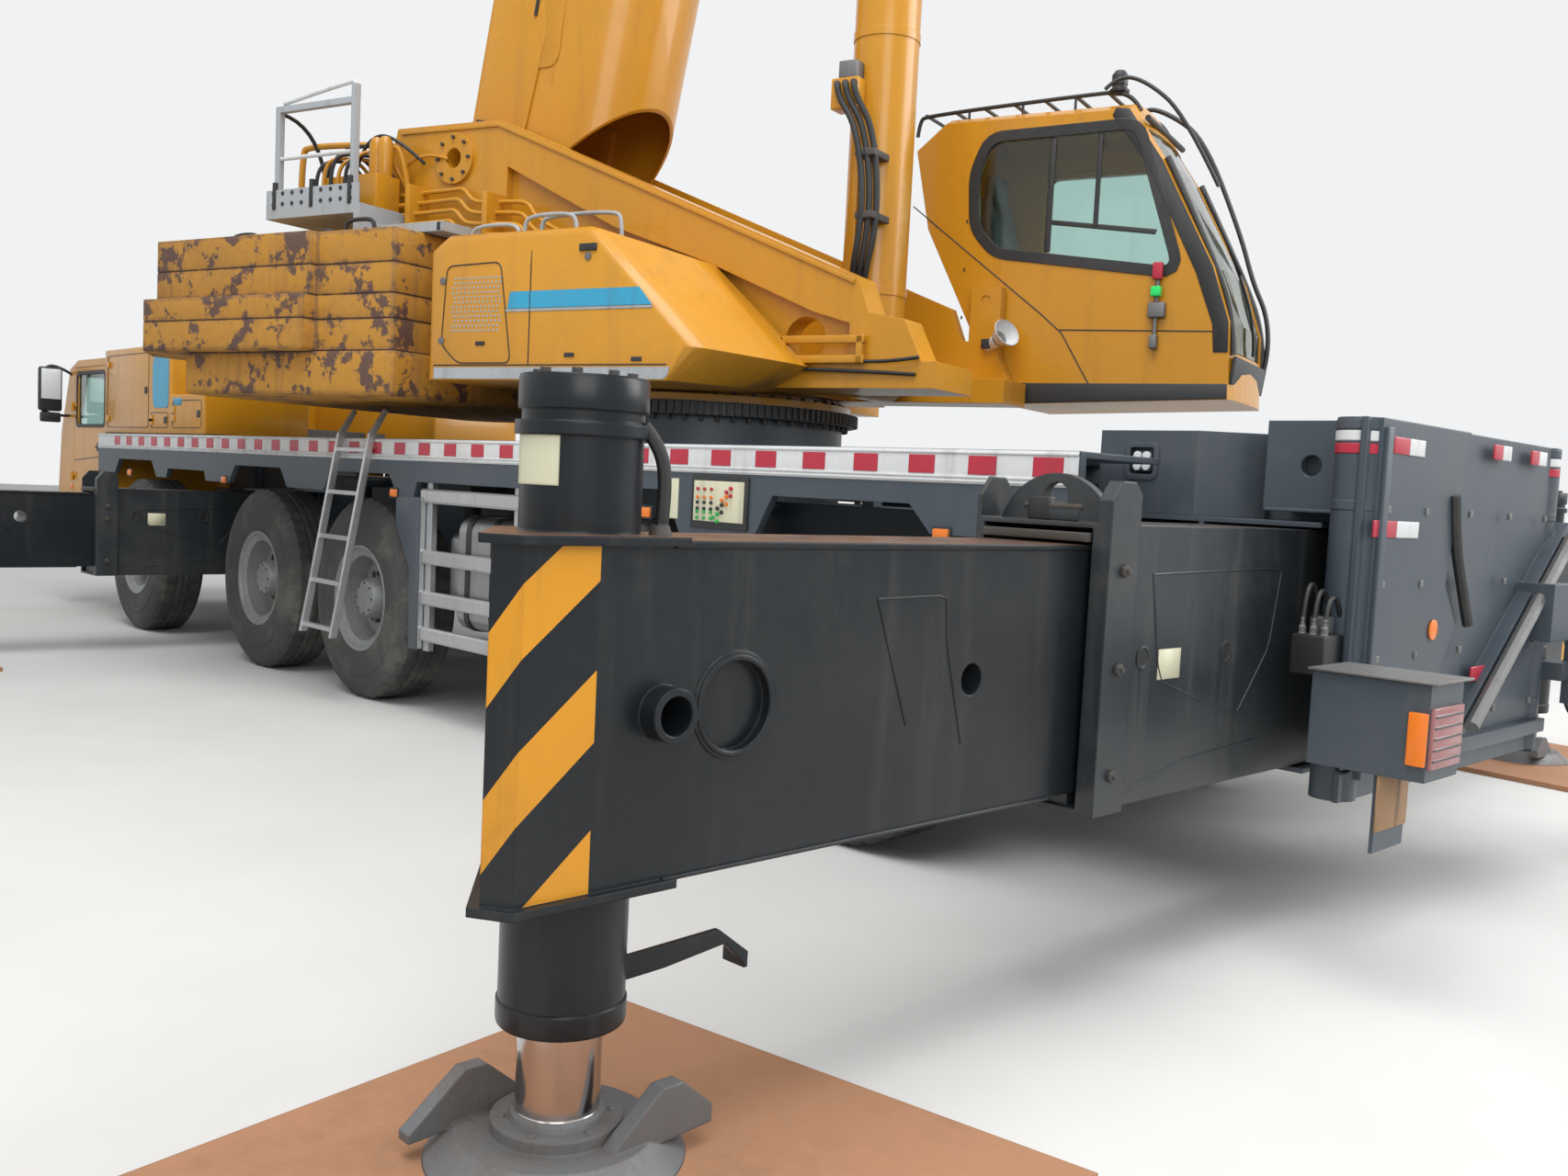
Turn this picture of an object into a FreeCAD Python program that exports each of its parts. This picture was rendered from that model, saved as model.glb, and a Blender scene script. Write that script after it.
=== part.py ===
# Five-axle mobile crane, set up on four outriggers with its boom raised.
# Millimetres. X runs forward to the driver's cab, Y to the left and Z up. The origin is on the floor, at
# mid-length. The superstructure is drawn in its own frame, whose X runs towards the boom's side, and is then
# turned about the slew axis. Boom pieces are drawn with the boom level and its foot pin at zero.
import FreeCAD
import Part
import Sketcher
import math
import os
from types import SimpleNamespace

doc = FreeCAD.newDocument("MobileCrane")

SIZES = {
    # Carrier: axle stations, wheels and steering
    "axle_a": 4490, "axle_b": 1840, "axle_c": 180, "axle_d": -2680, "axle_e": -4290,
    "tyre_radius": 685, "tyre_half": 192.5, "wheel_y": 1292.5, "rim_radius": 350, "pin_play": 0.3,
    "spindle_radius": 60, "kingpin_y": 985, "kingpin_radius": 30, "axle_tube": 90,
    "axle_housing": 210, "strut_y": 620, "strut_radius": 60, "knuckle_low": 540, "knuckle_high": 830,
    "knuckle_plate": 45, "knuckle_half": 75,
    # Carrier: frame, deck and cab
    "half_width": 1500, "front_end": 7035, "tail_end": 6830, "tail_wall": 6400, "right_deck_step": 370,
    "frame_half": 420, "frame_low": 950, "frame_top": 1560, "nose_low": 600, "nose_top": 990, "bay_top": 1300,
    "deck_top": 1771, "deck_plate": 25, "rail_front": 5480, "rail_rear": 5530, "skirt_thick": 40,
    "arch_top": 1540, "arch_half_top": 415, "arch_half_low": 535, "skirt_low": 1400, "skirt_rear_low": 1330,
    "beam_pass": 1480, "beam_pass_rear": 1560, "deck_inner": 430,
    "cab_rear": 5390, "cab_half": 1400, "cab_floor": 1000, "cab_roof": 2500, "cab_wall": 40,
    "door_rear": 5560, "door_front": 6560, "door_low": 1060, "door_top": 2430, "door_gap": 6,
    "box_front": 5360, "box_step": 3680, "box_rear": 2920, "box_top": 2550, "box_low_top": 2110,
    "trough_half": 600, "box_half": 1490,
    "slew_x": -1620, "pedestal_radius": 900, "race_radius": 980, "race_low": 1980, "race_split": 2060,
    # Outriggers
    "rear_beam_x": -5920, "rear_pitch": 480, "rear_outer": 440, "rear_inner": 360, "rear_low": 630,
    "rear_high": 1520, "rear_inner_low": 690, "rear_inner_high": 1440, "rear_jack_top": 1800,
    "front_beam_x": 3130, "front_pitch": 330, "front_outer": 300, "front_inner": 250, "front_low": 620,
    "front_high": 1310, "front_inner_low": 690, "front_inner_high": 1256, "front_jack_top": 1465,
    "beam_wall": 15, "box_wall": 20, "beam_play": 10, "outrigger_half": 850, "web_half": 480,
    "stage_one_inner": -210, "stage_one_end": 2300, "stage_two_travel": 1550,
    "cheek_long": 160, "cheek_rise": 130, "cheek_thick": 50, "cheek_thin": 15, "arch_thick": 30,
    "stage_two_inner": 1480, "top_plate": 12, "pad_gap": 0.3,
    "recess_y": 3700, "recess_radius": 110, "recess_z": 1070, "stub_y": 3920, "stub_radius": 62,
    "web_hole_y": 2816, "web_hole_radius": 45, "housing_half": 845, "housing_top": 1890,
    "housing_step": 5640, "housing_end": 5840, "housing_neck": 600, "panel_front": 5930, "panel_low": 1590,
    "panel_high": 1930, "wall_half": 1060, "wall_low": 560, "wall_thick": 20, "column_radius": 80,
    "lamp_in": 1180, "lamp_out": 1450, "lamp_low": 760, "lamp_high": 1070, "lamp_long": 380,
    "jack_y": 4030, "jack_reach": 300, "jack_reach_far": 80,
    "jack_tube": 136, "jack_foot_tube": 145, "jack_tube_low": 346, "jack_rod": 97, "jack_bore": 100,
    "float_radius": 300, "float_top": 120, "mat_side": 1600, "mat_thick": 30, "mat_shift": -200,
    "mat_turn": 9,
    # Hung between the axles
    "tank_half": 420, "tank_inner": 700, "tank_outer": 1420, "tank_low": 600, "tank_high": 1310,
    "tank_round": 110, "vessel_long": 210, "vessel_inner": 820, "vessel_outer": 1350, "vessel_low": 700,
    "vessel_high": 1190, "guard_front": -640, "guard_rear": -1760, "guard_low": 430, "guard_high": 1620,
    "bar_half": 45, "bar_deep": 32, "ladder_rear": -40, "ladder_front": 400, "ladder_foot": 450,
    "ladder_lean": 240, "ladder_bend": 1790, "stile_half": 12, "rung_half": 14,
    # Superstructure
    "slew_angle": 195.3, "base_low": 2145, "base_top": 2290, "cheek_inner": 530, "cheek_outer": 750,
    "cheek_left": 600, "web_recess": 60,
    "foot_x": -1550, "foot_z": 3620, "foot_pin": 100,
    "ram_x": 1190, "ram_z": 2350, "ram_pin": 60, "ram_tube": 195, "ram_eye": 215, "ram_eye_half": 205,
    "ram_bore": 125, "ram_rod": 120,
    "ram_tube_length": 4050, "ram_rod_length": 4200, "ram_lug_along": 7160, "ram_lug_below": 1400,
    "hood_low": 2120, "hood_top": 2975, "hood_side": 1450,
    "hood_rear": -1060, "hood_facet": 450, "platform_front": -1150, "platform_side": 1250,
    "platform_step": -1880, "platform_rear": -2780, "platform_high": 3200, "platform_thick": 60,
    "rail_high": 3920,
    "weight_half": 1600, "weight_rear": 3960, "weight_front": 2205, "weight_step": 1990, "weight_nose": 1310,
    "slab_1": 2491, "slab_2": 2644, "slab_3": 2831, "slab_4": 3040,
    "slab_gap": 0.5, "weight_base_low": 2020, "weight_base_top": 2292,
    "op_cab_inner": 620, "op_cab_outer": 1500, "op_cab_wall": 30, "tilt_x": 1700, "tilt_z": 2800,
    "drum_x": -1850, "drum_z": 2720, "drum_radius": 190, "drum_flange": 260,
    # Boom
    "boom_angle": 79, "boom_half": 500, "boom_back": 160, "boom_depth": 1160, "boom_wall": 20,
    "boom_length": 11200, "section_step": 100, "section_wall": 16, "section_inner": 1000, "jib_bore": 40,
}

sheet = doc.addObject("Spreadsheet::Sheet", "Dims")
for row, (alias, value) in enumerate(SIZES.items(), 1):
    sheet.set("A%d" % row, alias)
    sheet.set("B%d" % row, str(value))
    sheet.setAlias("B%d" % row, alias)
doc.recompute()


class Size:
    """A value of the sheet, or a sum of such values, with the expression that gives it."""

    def __init__(self, value, text):
        self.value = value
        self.text = text

    def joined(self, other, sign, value):
        return Size(value, "(%s %s %s)" % (self.text, sign, words(other)))

    def __add__(self, other):
        return self.joined(other, "+", self.value + amount(other))

    def __radd__(self, other):
        return self + other

    def __sub__(self, other):
        return self.joined(other, "-", self.value - amount(other))

    def __rsub__(self, other):
        return -self + other

    def __mul__(self, other):
        return self.joined(other, "*", self.value * amount(other))

    def __rmul__(self, other):
        return self * other

    def __truediv__(self, other):
        return self.joined(other, "/", self.value / amount(other))

    def __neg__(self):
        return Size(-self.value, "(0 - %s)" % self.text)


def amount(size):
    return size.value if isinstance(size, Size) else float(size)


def words(size):
    return size.text if isinstance(size, Size) else "%.4f" % size


def bind(thing, prop, size):
    """Ties a property to its expression, or sets a plain number."""
    if isinstance(size, Size):
        thing.setExpression(prop, size.text)
    else:
        thing.setExpression(prop, words(size))


D = SimpleNamespace(**{alias: Size(value, "Dims." + alias) for alias, value in SIZES.items()})
NODES = {}


def seat(thing, x, y, z):
    bind(thing, ".Placement.Base.x", x)
    bind(thing, ".Placement.Base.y", y)
    bind(thing, ".Placement.Base.z", z)


def block(name, x, y, z):
    """A box from three (low, high) pairs."""
    thing = doc.addObject("Part::Box", name)
    bind(thing, "Length", x[1] - x[0])
    bind(thing, "Width", y[1] - y[0])
    bind(thing, "Height", z[1] - z[0])
    seat(thing, x[0], y[0], z[0])
    return thing


TURN = {
    "x": FreeCAD.Rotation(FreeCAD.Vector(0, 1, 0), 90),
    "y": FreeCAD.Rotation(FreeCAD.Vector(1, 0, 0), -90),
    "z": FreeCAD.Rotation(),
}


def rod(name, radius, axis, start, length):
    """A cylinder from its start point along an axis."""
    thing = doc.addObject("Part::Cylinder", name)
    thing.Placement = FreeCAD.Placement(FreeCAD.Vector(), TURN[axis])
    bind(thing, "Radius", radius)
    bind(thing, "Height", length)
    seat(thing, *start)
    return thing


def sketch_on(body, plane, offset, points):
    """A closed outline of straight lines on one of the body's own planes."""
    sketch = body.newObject("Sketcher::SketchObject", body.Name + "Outline")
    role = {"xy": "XY_Plane", "xz": "XZ_Plane", "yz": "YZ_Plane"}[plane]
    face = [o for o in body.Origin.OriginFeatures if o.Role == role][0]
    sketch.AttachmentSupport = [(face, "")]
    sketch.MapMode = "FlatFace"
    bind(sketch, ".AttachmentOffset.Base.z", offset)
    return draw(sketch, points)


def draw(sketch, points):
    """Closed straight lines through the points, each held by its two distances from the origin."""
    count = len(points)
    corner = [FreeCAD.Vector(amount(a), amount(b), 0) for a, b in points]
    lines = [Part.LineSegment(corner[i], corner[(i + 1) % count]) for i in range(count)]
    sketch.addGeometry(lines)
    ties = [Sketcher.Constraint("Coincident", i, 2, (i + 1) % count, 1) for i in range(count)]
    for i in range(count):
        ties.append(Sketcher.Constraint("DistanceX", -1, 1, i, 1, corner[i].x))
        ties.append(Sketcher.Constraint("DistanceY", -1, 1, i, 1, corner[i].y))
    sketch.addConstraint(ties)
    for i, point in enumerate(points):
        for k in (0, 1):
            if isinstance(point[k], Size):
                bind(sketch, "Constraints[%d]" % (count + 2 * i + k), point[k])
    return sketch


def prism(name, plane, points, low, high):
    """An outline padded between two offsets along the plane's normal axis."""
    body = doc.addObject("PartDesign::Body", name)
    offset = -high if plane == "xz" else low
    pad = body.newObject("PartDesign::Pad", name + "Pad")
    pad.Profile = sketch_on(body, plane, offset, points)
    bind(pad, "Length", high - low)
    body.Tip = pad
    return body


def profile(name, y, points):
    """An upright outline across Y, for a loft."""
    sketch = doc.addObject("Sketcher::SketchObject", name)
    sketch.Placement = FreeCAD.Placement(FreeCAD.Vector(), FreeCAD.Rotation(FreeCAD.Vector(1, 0, 0), 90))
    bind(sketch, ".Placement.Base.y", y)
    return draw(sketch, points)


def loft(name, sections):
    """A solid with ruled faces through (y, outline) sections."""
    thing = doc.addObject("Part::Loft", name)
    thing.Sections = [profile("%sAt%d" % (name, k), y, points) for k, (y, points) in enumerate(sections)]
    thing.Solid = True
    thing.Ruled = True
    return thing


def turned(name, points):
    """A profile of (radius, y) points revolved about the Y axis."""
    body = doc.addObject("PartDesign::Body", name)
    sketch = sketch_on(body, "xy", 0, points)
    spin = body.newObject("PartDesign::Revolution", name + "Turn")
    spin.Profile = sketch
    spin.ReferenceAxis = (sketch, ["V_Axis"])
    spin.Angle = 360
    body.Tip = spin
    return body


def fuse(name, pieces):
    thing = doc.addObject("Part::MultiFuse", name)
    thing.Shapes = pieces
    return thing


def cut(name, base, tools):
    thing = doc.addObject("Part::Cut", name)
    thing.Base = base
    thing.Tool = tools[0] if len(tools) == 1 else fuse(name + "Tools", tools)
    return thing


def rounded(name, base, axis, radius):
    """The base with its edges along an axis rounded."""
    thing = doc.addObject("Part::Fillet", name)
    thing.Base = base
    doc.recompute()
    radius = amount(radius)
    thing.Edges = [(k, radius, radius) for k, edge in enumerate(base.Shape.Edges, 1)
                   if abs(getattr(edge.tangentAt(edge.FirstParameter), axis)) > 0.9]
    return thing


def group(name, pieces):
    thing = doc.addObject("Part::Compound", name)
    thing.Links = pieces
    return thing


def node(name, thing):
    thing.Label = name
    NODES[name] = thing
    return thing


def span(side, low, high):
    """A (low, high) pair on the left side, or its mirror on the right."""
    return (low, high) if side > 0 else (-high, -low)


def about(centre, half):
    return (centre - half, centre + half)


def inward(side, face, low, high):
    """A (low, high) pair measured inwards from the outer face of a beam on that side."""
    return (face + low, face + high) if side > 0 else (face - high, face - low)


def side_name(side):
    return "left" if side > 0 else "right"


# Frame: a closed box spine between the outrigger boxes, a nose under the cab, the pedestal of the slewing
# ring and the brackets that the suspension struts and tanks hang from. Each outrigger box is a crosswise pair
# of tunnels, and brackets on the spine carry the deck.
AXLES = (("a", D.axle_a, True), ("b", D.axle_b, True), ("c", D.axle_c, False),
         ("d", D.axle_d, True), ("e", D.axle_e, True))
# Outrigger sets: name, left beam's centre, pitch towards the right beam, outer and inner width, heights
SETS = (
    ("rear", D.rear_beam_x, D.rear_pitch, D.rear_outer, D.rear_inner, D.rear_low, D.rear_high,
     D.rear_inner_low, D.rear_inner_high, D.rear_jack_top),
    ("front", D.front_beam_x, D.front_pitch, D.front_outer, D.front_inner, D.front_low, D.front_high,
     D.front_inner_low, D.front_inner_high, D.front_jack_top),
)
frame_half = (-D.frame_half, D.frame_half)


def strut_top(x):
    """Height of a suspension strut's bracket: the spine is lower under the engine bay."""
    return D.bay_top - 60 if amount(x) > amount(D.box_rear) else D.frame_top - 140


frame_pieces = []
outrigger_boxes = []
box_ends = {}
for name, beam_x, pitch, outer, inner, low, high, low_in, high_in, jack_top in SETS:
    reach = outer / 2 + D.beam_play + D.box_wall
    ends = (beam_x - reach, beam_x + pitch + reach)
    box_ends[name] = ends
    skin = block("OutriggerBox_" + name, ends, (-D.outrigger_half, D.outrigger_half),
                 (low - D.beam_play - D.box_wall, high + D.beam_play + D.box_wall))
    holes = [
        block("BeamHole_%s%d" % (name, k), about(beam_x + pitch * k, outer / 2 + D.beam_play),
              (-D.outrigger_half - 1, D.outrigger_half + 1), (low - D.beam_play, high + D.beam_play))
        for k in (0, 1)]
    for k, side in ((0, 1), (1, -1)):
        web = beam_x + pitch * k - side * (outer / 2 + D.beam_play + D.box_wall / 2)
        holes.append(block("WebCut_%s%d" % (name, k), about(web, D.box_wall / 2 + 1),
                           span(side, D.web_half, D.outrigger_half + 1), (low - D.beam_play, high + D.beam_play)))
    box_pieces = [cut("OutriggerBoxOpen_" + name, skin, holes)]
    for k in (0, 1):
        for side in (1, -1):
            box_pieces.append(block("BeamPad_%s%d%s" % (name, k, side_name(side)),
                                    about(beam_x + pitch * k, outer / 2 - 40),
                                    span(side, D.outrigger_half - 150, D.outrigger_half - 20),
                                    (low - D.beam_play - 5, low - D.pad_gap)))
    outrigger_boxes.append(fuse("OutriggerBox_%s_all" % name, box_pieces))
node("outrigger_boxes", group("OutriggerBoxes", outrigger_boxes))
frame_pieces.append(block("SpineRear", (box_ends["rear"][1], box_ends["front"][0]), frame_half,
                          (D.frame_low, D.frame_top - 60)))
frame_pieces.append(block("SpineFront", (box_ends["front"][1], D.cab_rear - 20), frame_half,
                          (D.frame_low, D.bay_top)))
frame_pieces.append(block("Nose", (D.axle_a + 600, D.front_end - 300), frame_half,
                          (D.nose_low, D.cab_floor - D.pad_gap)))
frame_pieces.append(block("NoseJoint", (D.axle_a + 600, D.axle_a + 760), frame_half, (D.nose_low, D.bay_top)))
frame_pieces.append(prism("Bumper", "xz", [
    (D.front_end - 330, D.nose_top), (D.front_end - 330, 420), (D.front_end - 60, 420), (D.front_end, 520),
    (D.front_end, D.nose_top)], -D.cab_half, D.cab_half))
frame_pieces.append(rod("Pedestal", D.pedestal_radius, "z", (D.slew_x, 0, D.frame_top - 200),
                        D.race_low - D.frame_top + 200))
frame_pieces.append(rod("LowerRace", D.race_radius, "z", (D.slew_x, 0, D.race_low), D.race_split - D.race_low))
for letter, x, steers in AXLES:
    for side in (1, -1):
        frame_pieces.append(block("Bracket_%s%s" % (letter, side_name(side)), about(x, 130),
                                  span(side, D.frame_half - 10, D.strut_y + 100),
                                  (strut_top(x), strut_top(x) + 60)))
# Deck carriers: station and the height of the spine below
CARRIERS = ((D.axle_a, D.bay_top), (D.axle_b + 520, D.frame_top - 60), (D.axle_c + 800, D.frame_top - 60),
            (D.axle_c - 480, D.frame_top - 60), (D.axle_e + 805, D.frame_top - 60),
            (D.axle_e - 600, D.frame_top - 60))
deck_low = D.deck_top - D.deck_plate
brackets = []
for k, (x, z) in enumerate(CARRIERS):
    for side in (1, -1):
        tag = "%d%s" % (k, side_name(side))
        post = block("CarrierPost_" + tag, about(x, 40), span(side, D.frame_half - 70, D.frame_half),
                     (z, deck_low))
        arm = block("CarrierArm_" + tag, about(x, 40), span(side, D.frame_half - 70, D.half_width - D.skirt_thick),
                    (deck_low - 80, deck_low))
        brackets.append(fuse("Carrier_" + tag, [post, arm]))
node("deck_brackets", group("DeckBrackets", brackets))
tank_x = D.slew_x + 200
for side in (1, -1):
    frame_pieces.append(block("TankBracket_" + side_name(side), about(tank_x, 60),
                              span(side, D.frame_half - 10, D.tank_inner),
                              (D.tank_high - 130, D.tank_high - 30)))
frame = node("chassis_frame", fuse("ChassisFrame", frame_pieces))

# Deck: side skirts with a trapezoid arch over each wheel, the upright rail band above them and the plates.
BAY_LOWS = (D.skirt_low, D.skirt_low, D.skirt_low, D.skirt_low, D.skirt_rear_low, D.skirt_low + 20)
outline = [(D.rail_front, D.deck_top), (D.rail_front, BAY_LOWS[0])]
for k, (letter, x, steers) in enumerate(AXLES):
    outline.append((x + D.arch_half_low, BAY_LOWS[k]))
    outline.append((x + D.arch_half_top, D.arch_top))
    outline.append((x - D.arch_half_top, D.arch_top))
    outline.append((x - D.arch_half_low, BAY_LOWS[k + 1]))
    if letter == "a":
        for dx, low in ((590, D.skirt_low), (550, D.beam_pass), (-250, D.beam_pass), (-290, D.skirt_low)):
            outline.append((D.front_beam_x + dx, low))
    if letter == "c":
        for x_step, low in ((-560, D.skirt_low), (-600, D.beam_pass + 20), (-1900, D.beam_pass + 20),
                            (-1940, D.skirt_low)):
            outline.append((x_step, low))
outline += [(380 - D.rail_rear, BAY_LOWS[5]), (380 - D.rail_rear, D.beam_pass_rear)]
deck_pieces = []
for side in (1, -1):
    skirt_y = span(side, D.half_width - D.skirt_thick, D.half_width)
    rear = -D.rail_rear if side > 0 else D.right_deck_step - D.rail_rear
    ends = [(rear, D.beam_pass_rear), (rear, D.deck_top)]
    deck_pieces.append(prism("Skirt_" + side_name(side), "xz", outline + ends, *skirt_y))
    plate = block("Plate_" + side_name(side), (rear, D.cab_rear - 5),
                  span(side, D.deck_inner, D.half_width - D.skirt_thick), (D.deck_top - D.deck_plate, D.deck_top))
    gaps = [rod("PlateRound_" + side_name(side), D.pedestal_radius + 10, "z",
                (D.slew_x, 0, D.deck_top - 100), 200),
            block("CoverSlot_" + side_name(side), (-D.rail_rear - 10, box_ends["rear"][1] + 5), (-935, 935),
                  (D.deck_top - 100, D.deck_top + 100))]
    deck_pieces.append(cut("PlateOpen_" + side_name(side), plate, gaps))
deck = node("carrier_deck", fuse("CarrierDeck", deck_pieces))

# Axles: a tube with a round drive housing, struts up to the frame's brackets and a bored end for each kingpin.
axle_z = D.tyre_radius
axle_list = []
for letter, x, steers in AXLES:
    reach = D.kingpin_y - 40 if steers else D.wheel_y + 125
    pieces = [rod("AxleTube_" + letter, D.axle_tube, "y", (x, -D.kingpin_y + 30, axle_z), (D.kingpin_y - 30) * 2),
              rod("AxleHousing_" + letter, D.axle_housing, "y", (x, -160, axle_z), 320)]
    for side in (1, -1):
        tag = letter + side_name(side)
        pieces.append(rod("Strut_" + tag, D.strut_radius, "z", (x, D.strut_y * side, axle_z),
                          strut_top(x) - axle_z))
        if steers:
            pieces.append(rod("KingBoss_" + tag, 65, "z", (x, D.kingpin_y * side, D.knuckle_low + 50),
                              D.knuckle_high - D.knuckle_low - 100))
        else:
            y = span(side, D.kingpin_y - 100, D.wheel_y + 125)
            pieces.append(rod("Spindle_" + tag, D.spindle_radius, "y", (x, y[0], axle_z), y[1] - y[0]))
    solid = fuse("Axle_" + letter, pieces)
    if steers:
        holes = [rod("KingHole_%s%s" % (letter, side_name(side)), D.kingpin_radius + D.pin_play, "z",
                     (x, D.kingpin_y * side, D.knuckle_low), D.knuckle_high - D.knuckle_low) for side in (1, -1)]
        solid = cut("AxleBored_" + letter, solid, holes)
    axle_list.append(solid)
node("axle_beams", group("AxleBeams", axle_list))


def wheel_profile():
    """Tyre, dished rim, hub and its cap as (radius, y) points; the outer side is +y."""
    half = D.tyre_half
    tyre = D.tyre_radius
    rim = D.rim_radius
    return [
        (D.spindle_radius + D.pin_play, -110), (150, -110), (150, -60), (rim - 100, -60), (rim - 70, -half + 22),
        (rim - 20, -half), (rim + 210, -half), (tyre - 25, -half + 28), (tyre, -half + 42),
        (tyre, half - 42), (tyre - 25, half - 28), (rim + 210, half), (rim + 2, half - 7), (rim - 15, half - 22),
        (rim - 60, half - 42), (rim - 80, 10), (rim - 100, 0), (150, 0), (130, 130), (90, 150), (0, 150),
        (0, 135), (D.spindle_radius + D.pin_play, 135)]


for letter, x, steers in AXLES:
    for side in (1, -1):
        tag = "%s_%s" % (letter, side_name(side))
        wheel = turned("Wheel_" + tag, wheel_profile())
        turn = FreeCAD.Rotation(FreeCAD.Vector(0, 0, 1), 0 if side > 0 else 180)
        wheel.Placement = FreeCAD.Placement(FreeCAD.Vector(), turn)
        seat(wheel, x, D.wheel_y * side, axle_z)
        node("wheel_" + tag, wheel)
        if not steers:
            continue
        low, high, plate = D.knuckle_low, D.knuckle_high, D.knuckle_plate
        y_pin = D.kingpin_y * side
        pieces = [rod("Kingpin_" + tag, D.kingpin_radius, "z", (x, y_pin, low), high - low)]
        for end, z in (("Low", low), ("High", high - plate)):
            pieces.append(rod("YokeRound%s_%s" % (end, tag), D.knuckle_half, "z", (x, y_pin, z), plate))
            pieces.append(block("YokeArm%s_%s" % (end, tag), about(x, D.knuckle_half),
                                span(side, D.kingpin_y, D.kingpin_y + 105), (z, z + plate)))
        pieces.append(block("YokeFace_" + tag, about(x, D.knuckle_half),
                            span(side, D.kingpin_y + 75, D.kingpin_y + 105), (low, high)))
        y = span(side, D.kingpin_y + 100, D.wheel_y + 125)
        pieces.append(rod("Spindle_" + tag, D.spindle_radius, "y", (x, y[0], axle_z), y[1] - y[0]))
        node("knuckle_" + tag, fuse("Knuckle_" + tag, pieces))

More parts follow.
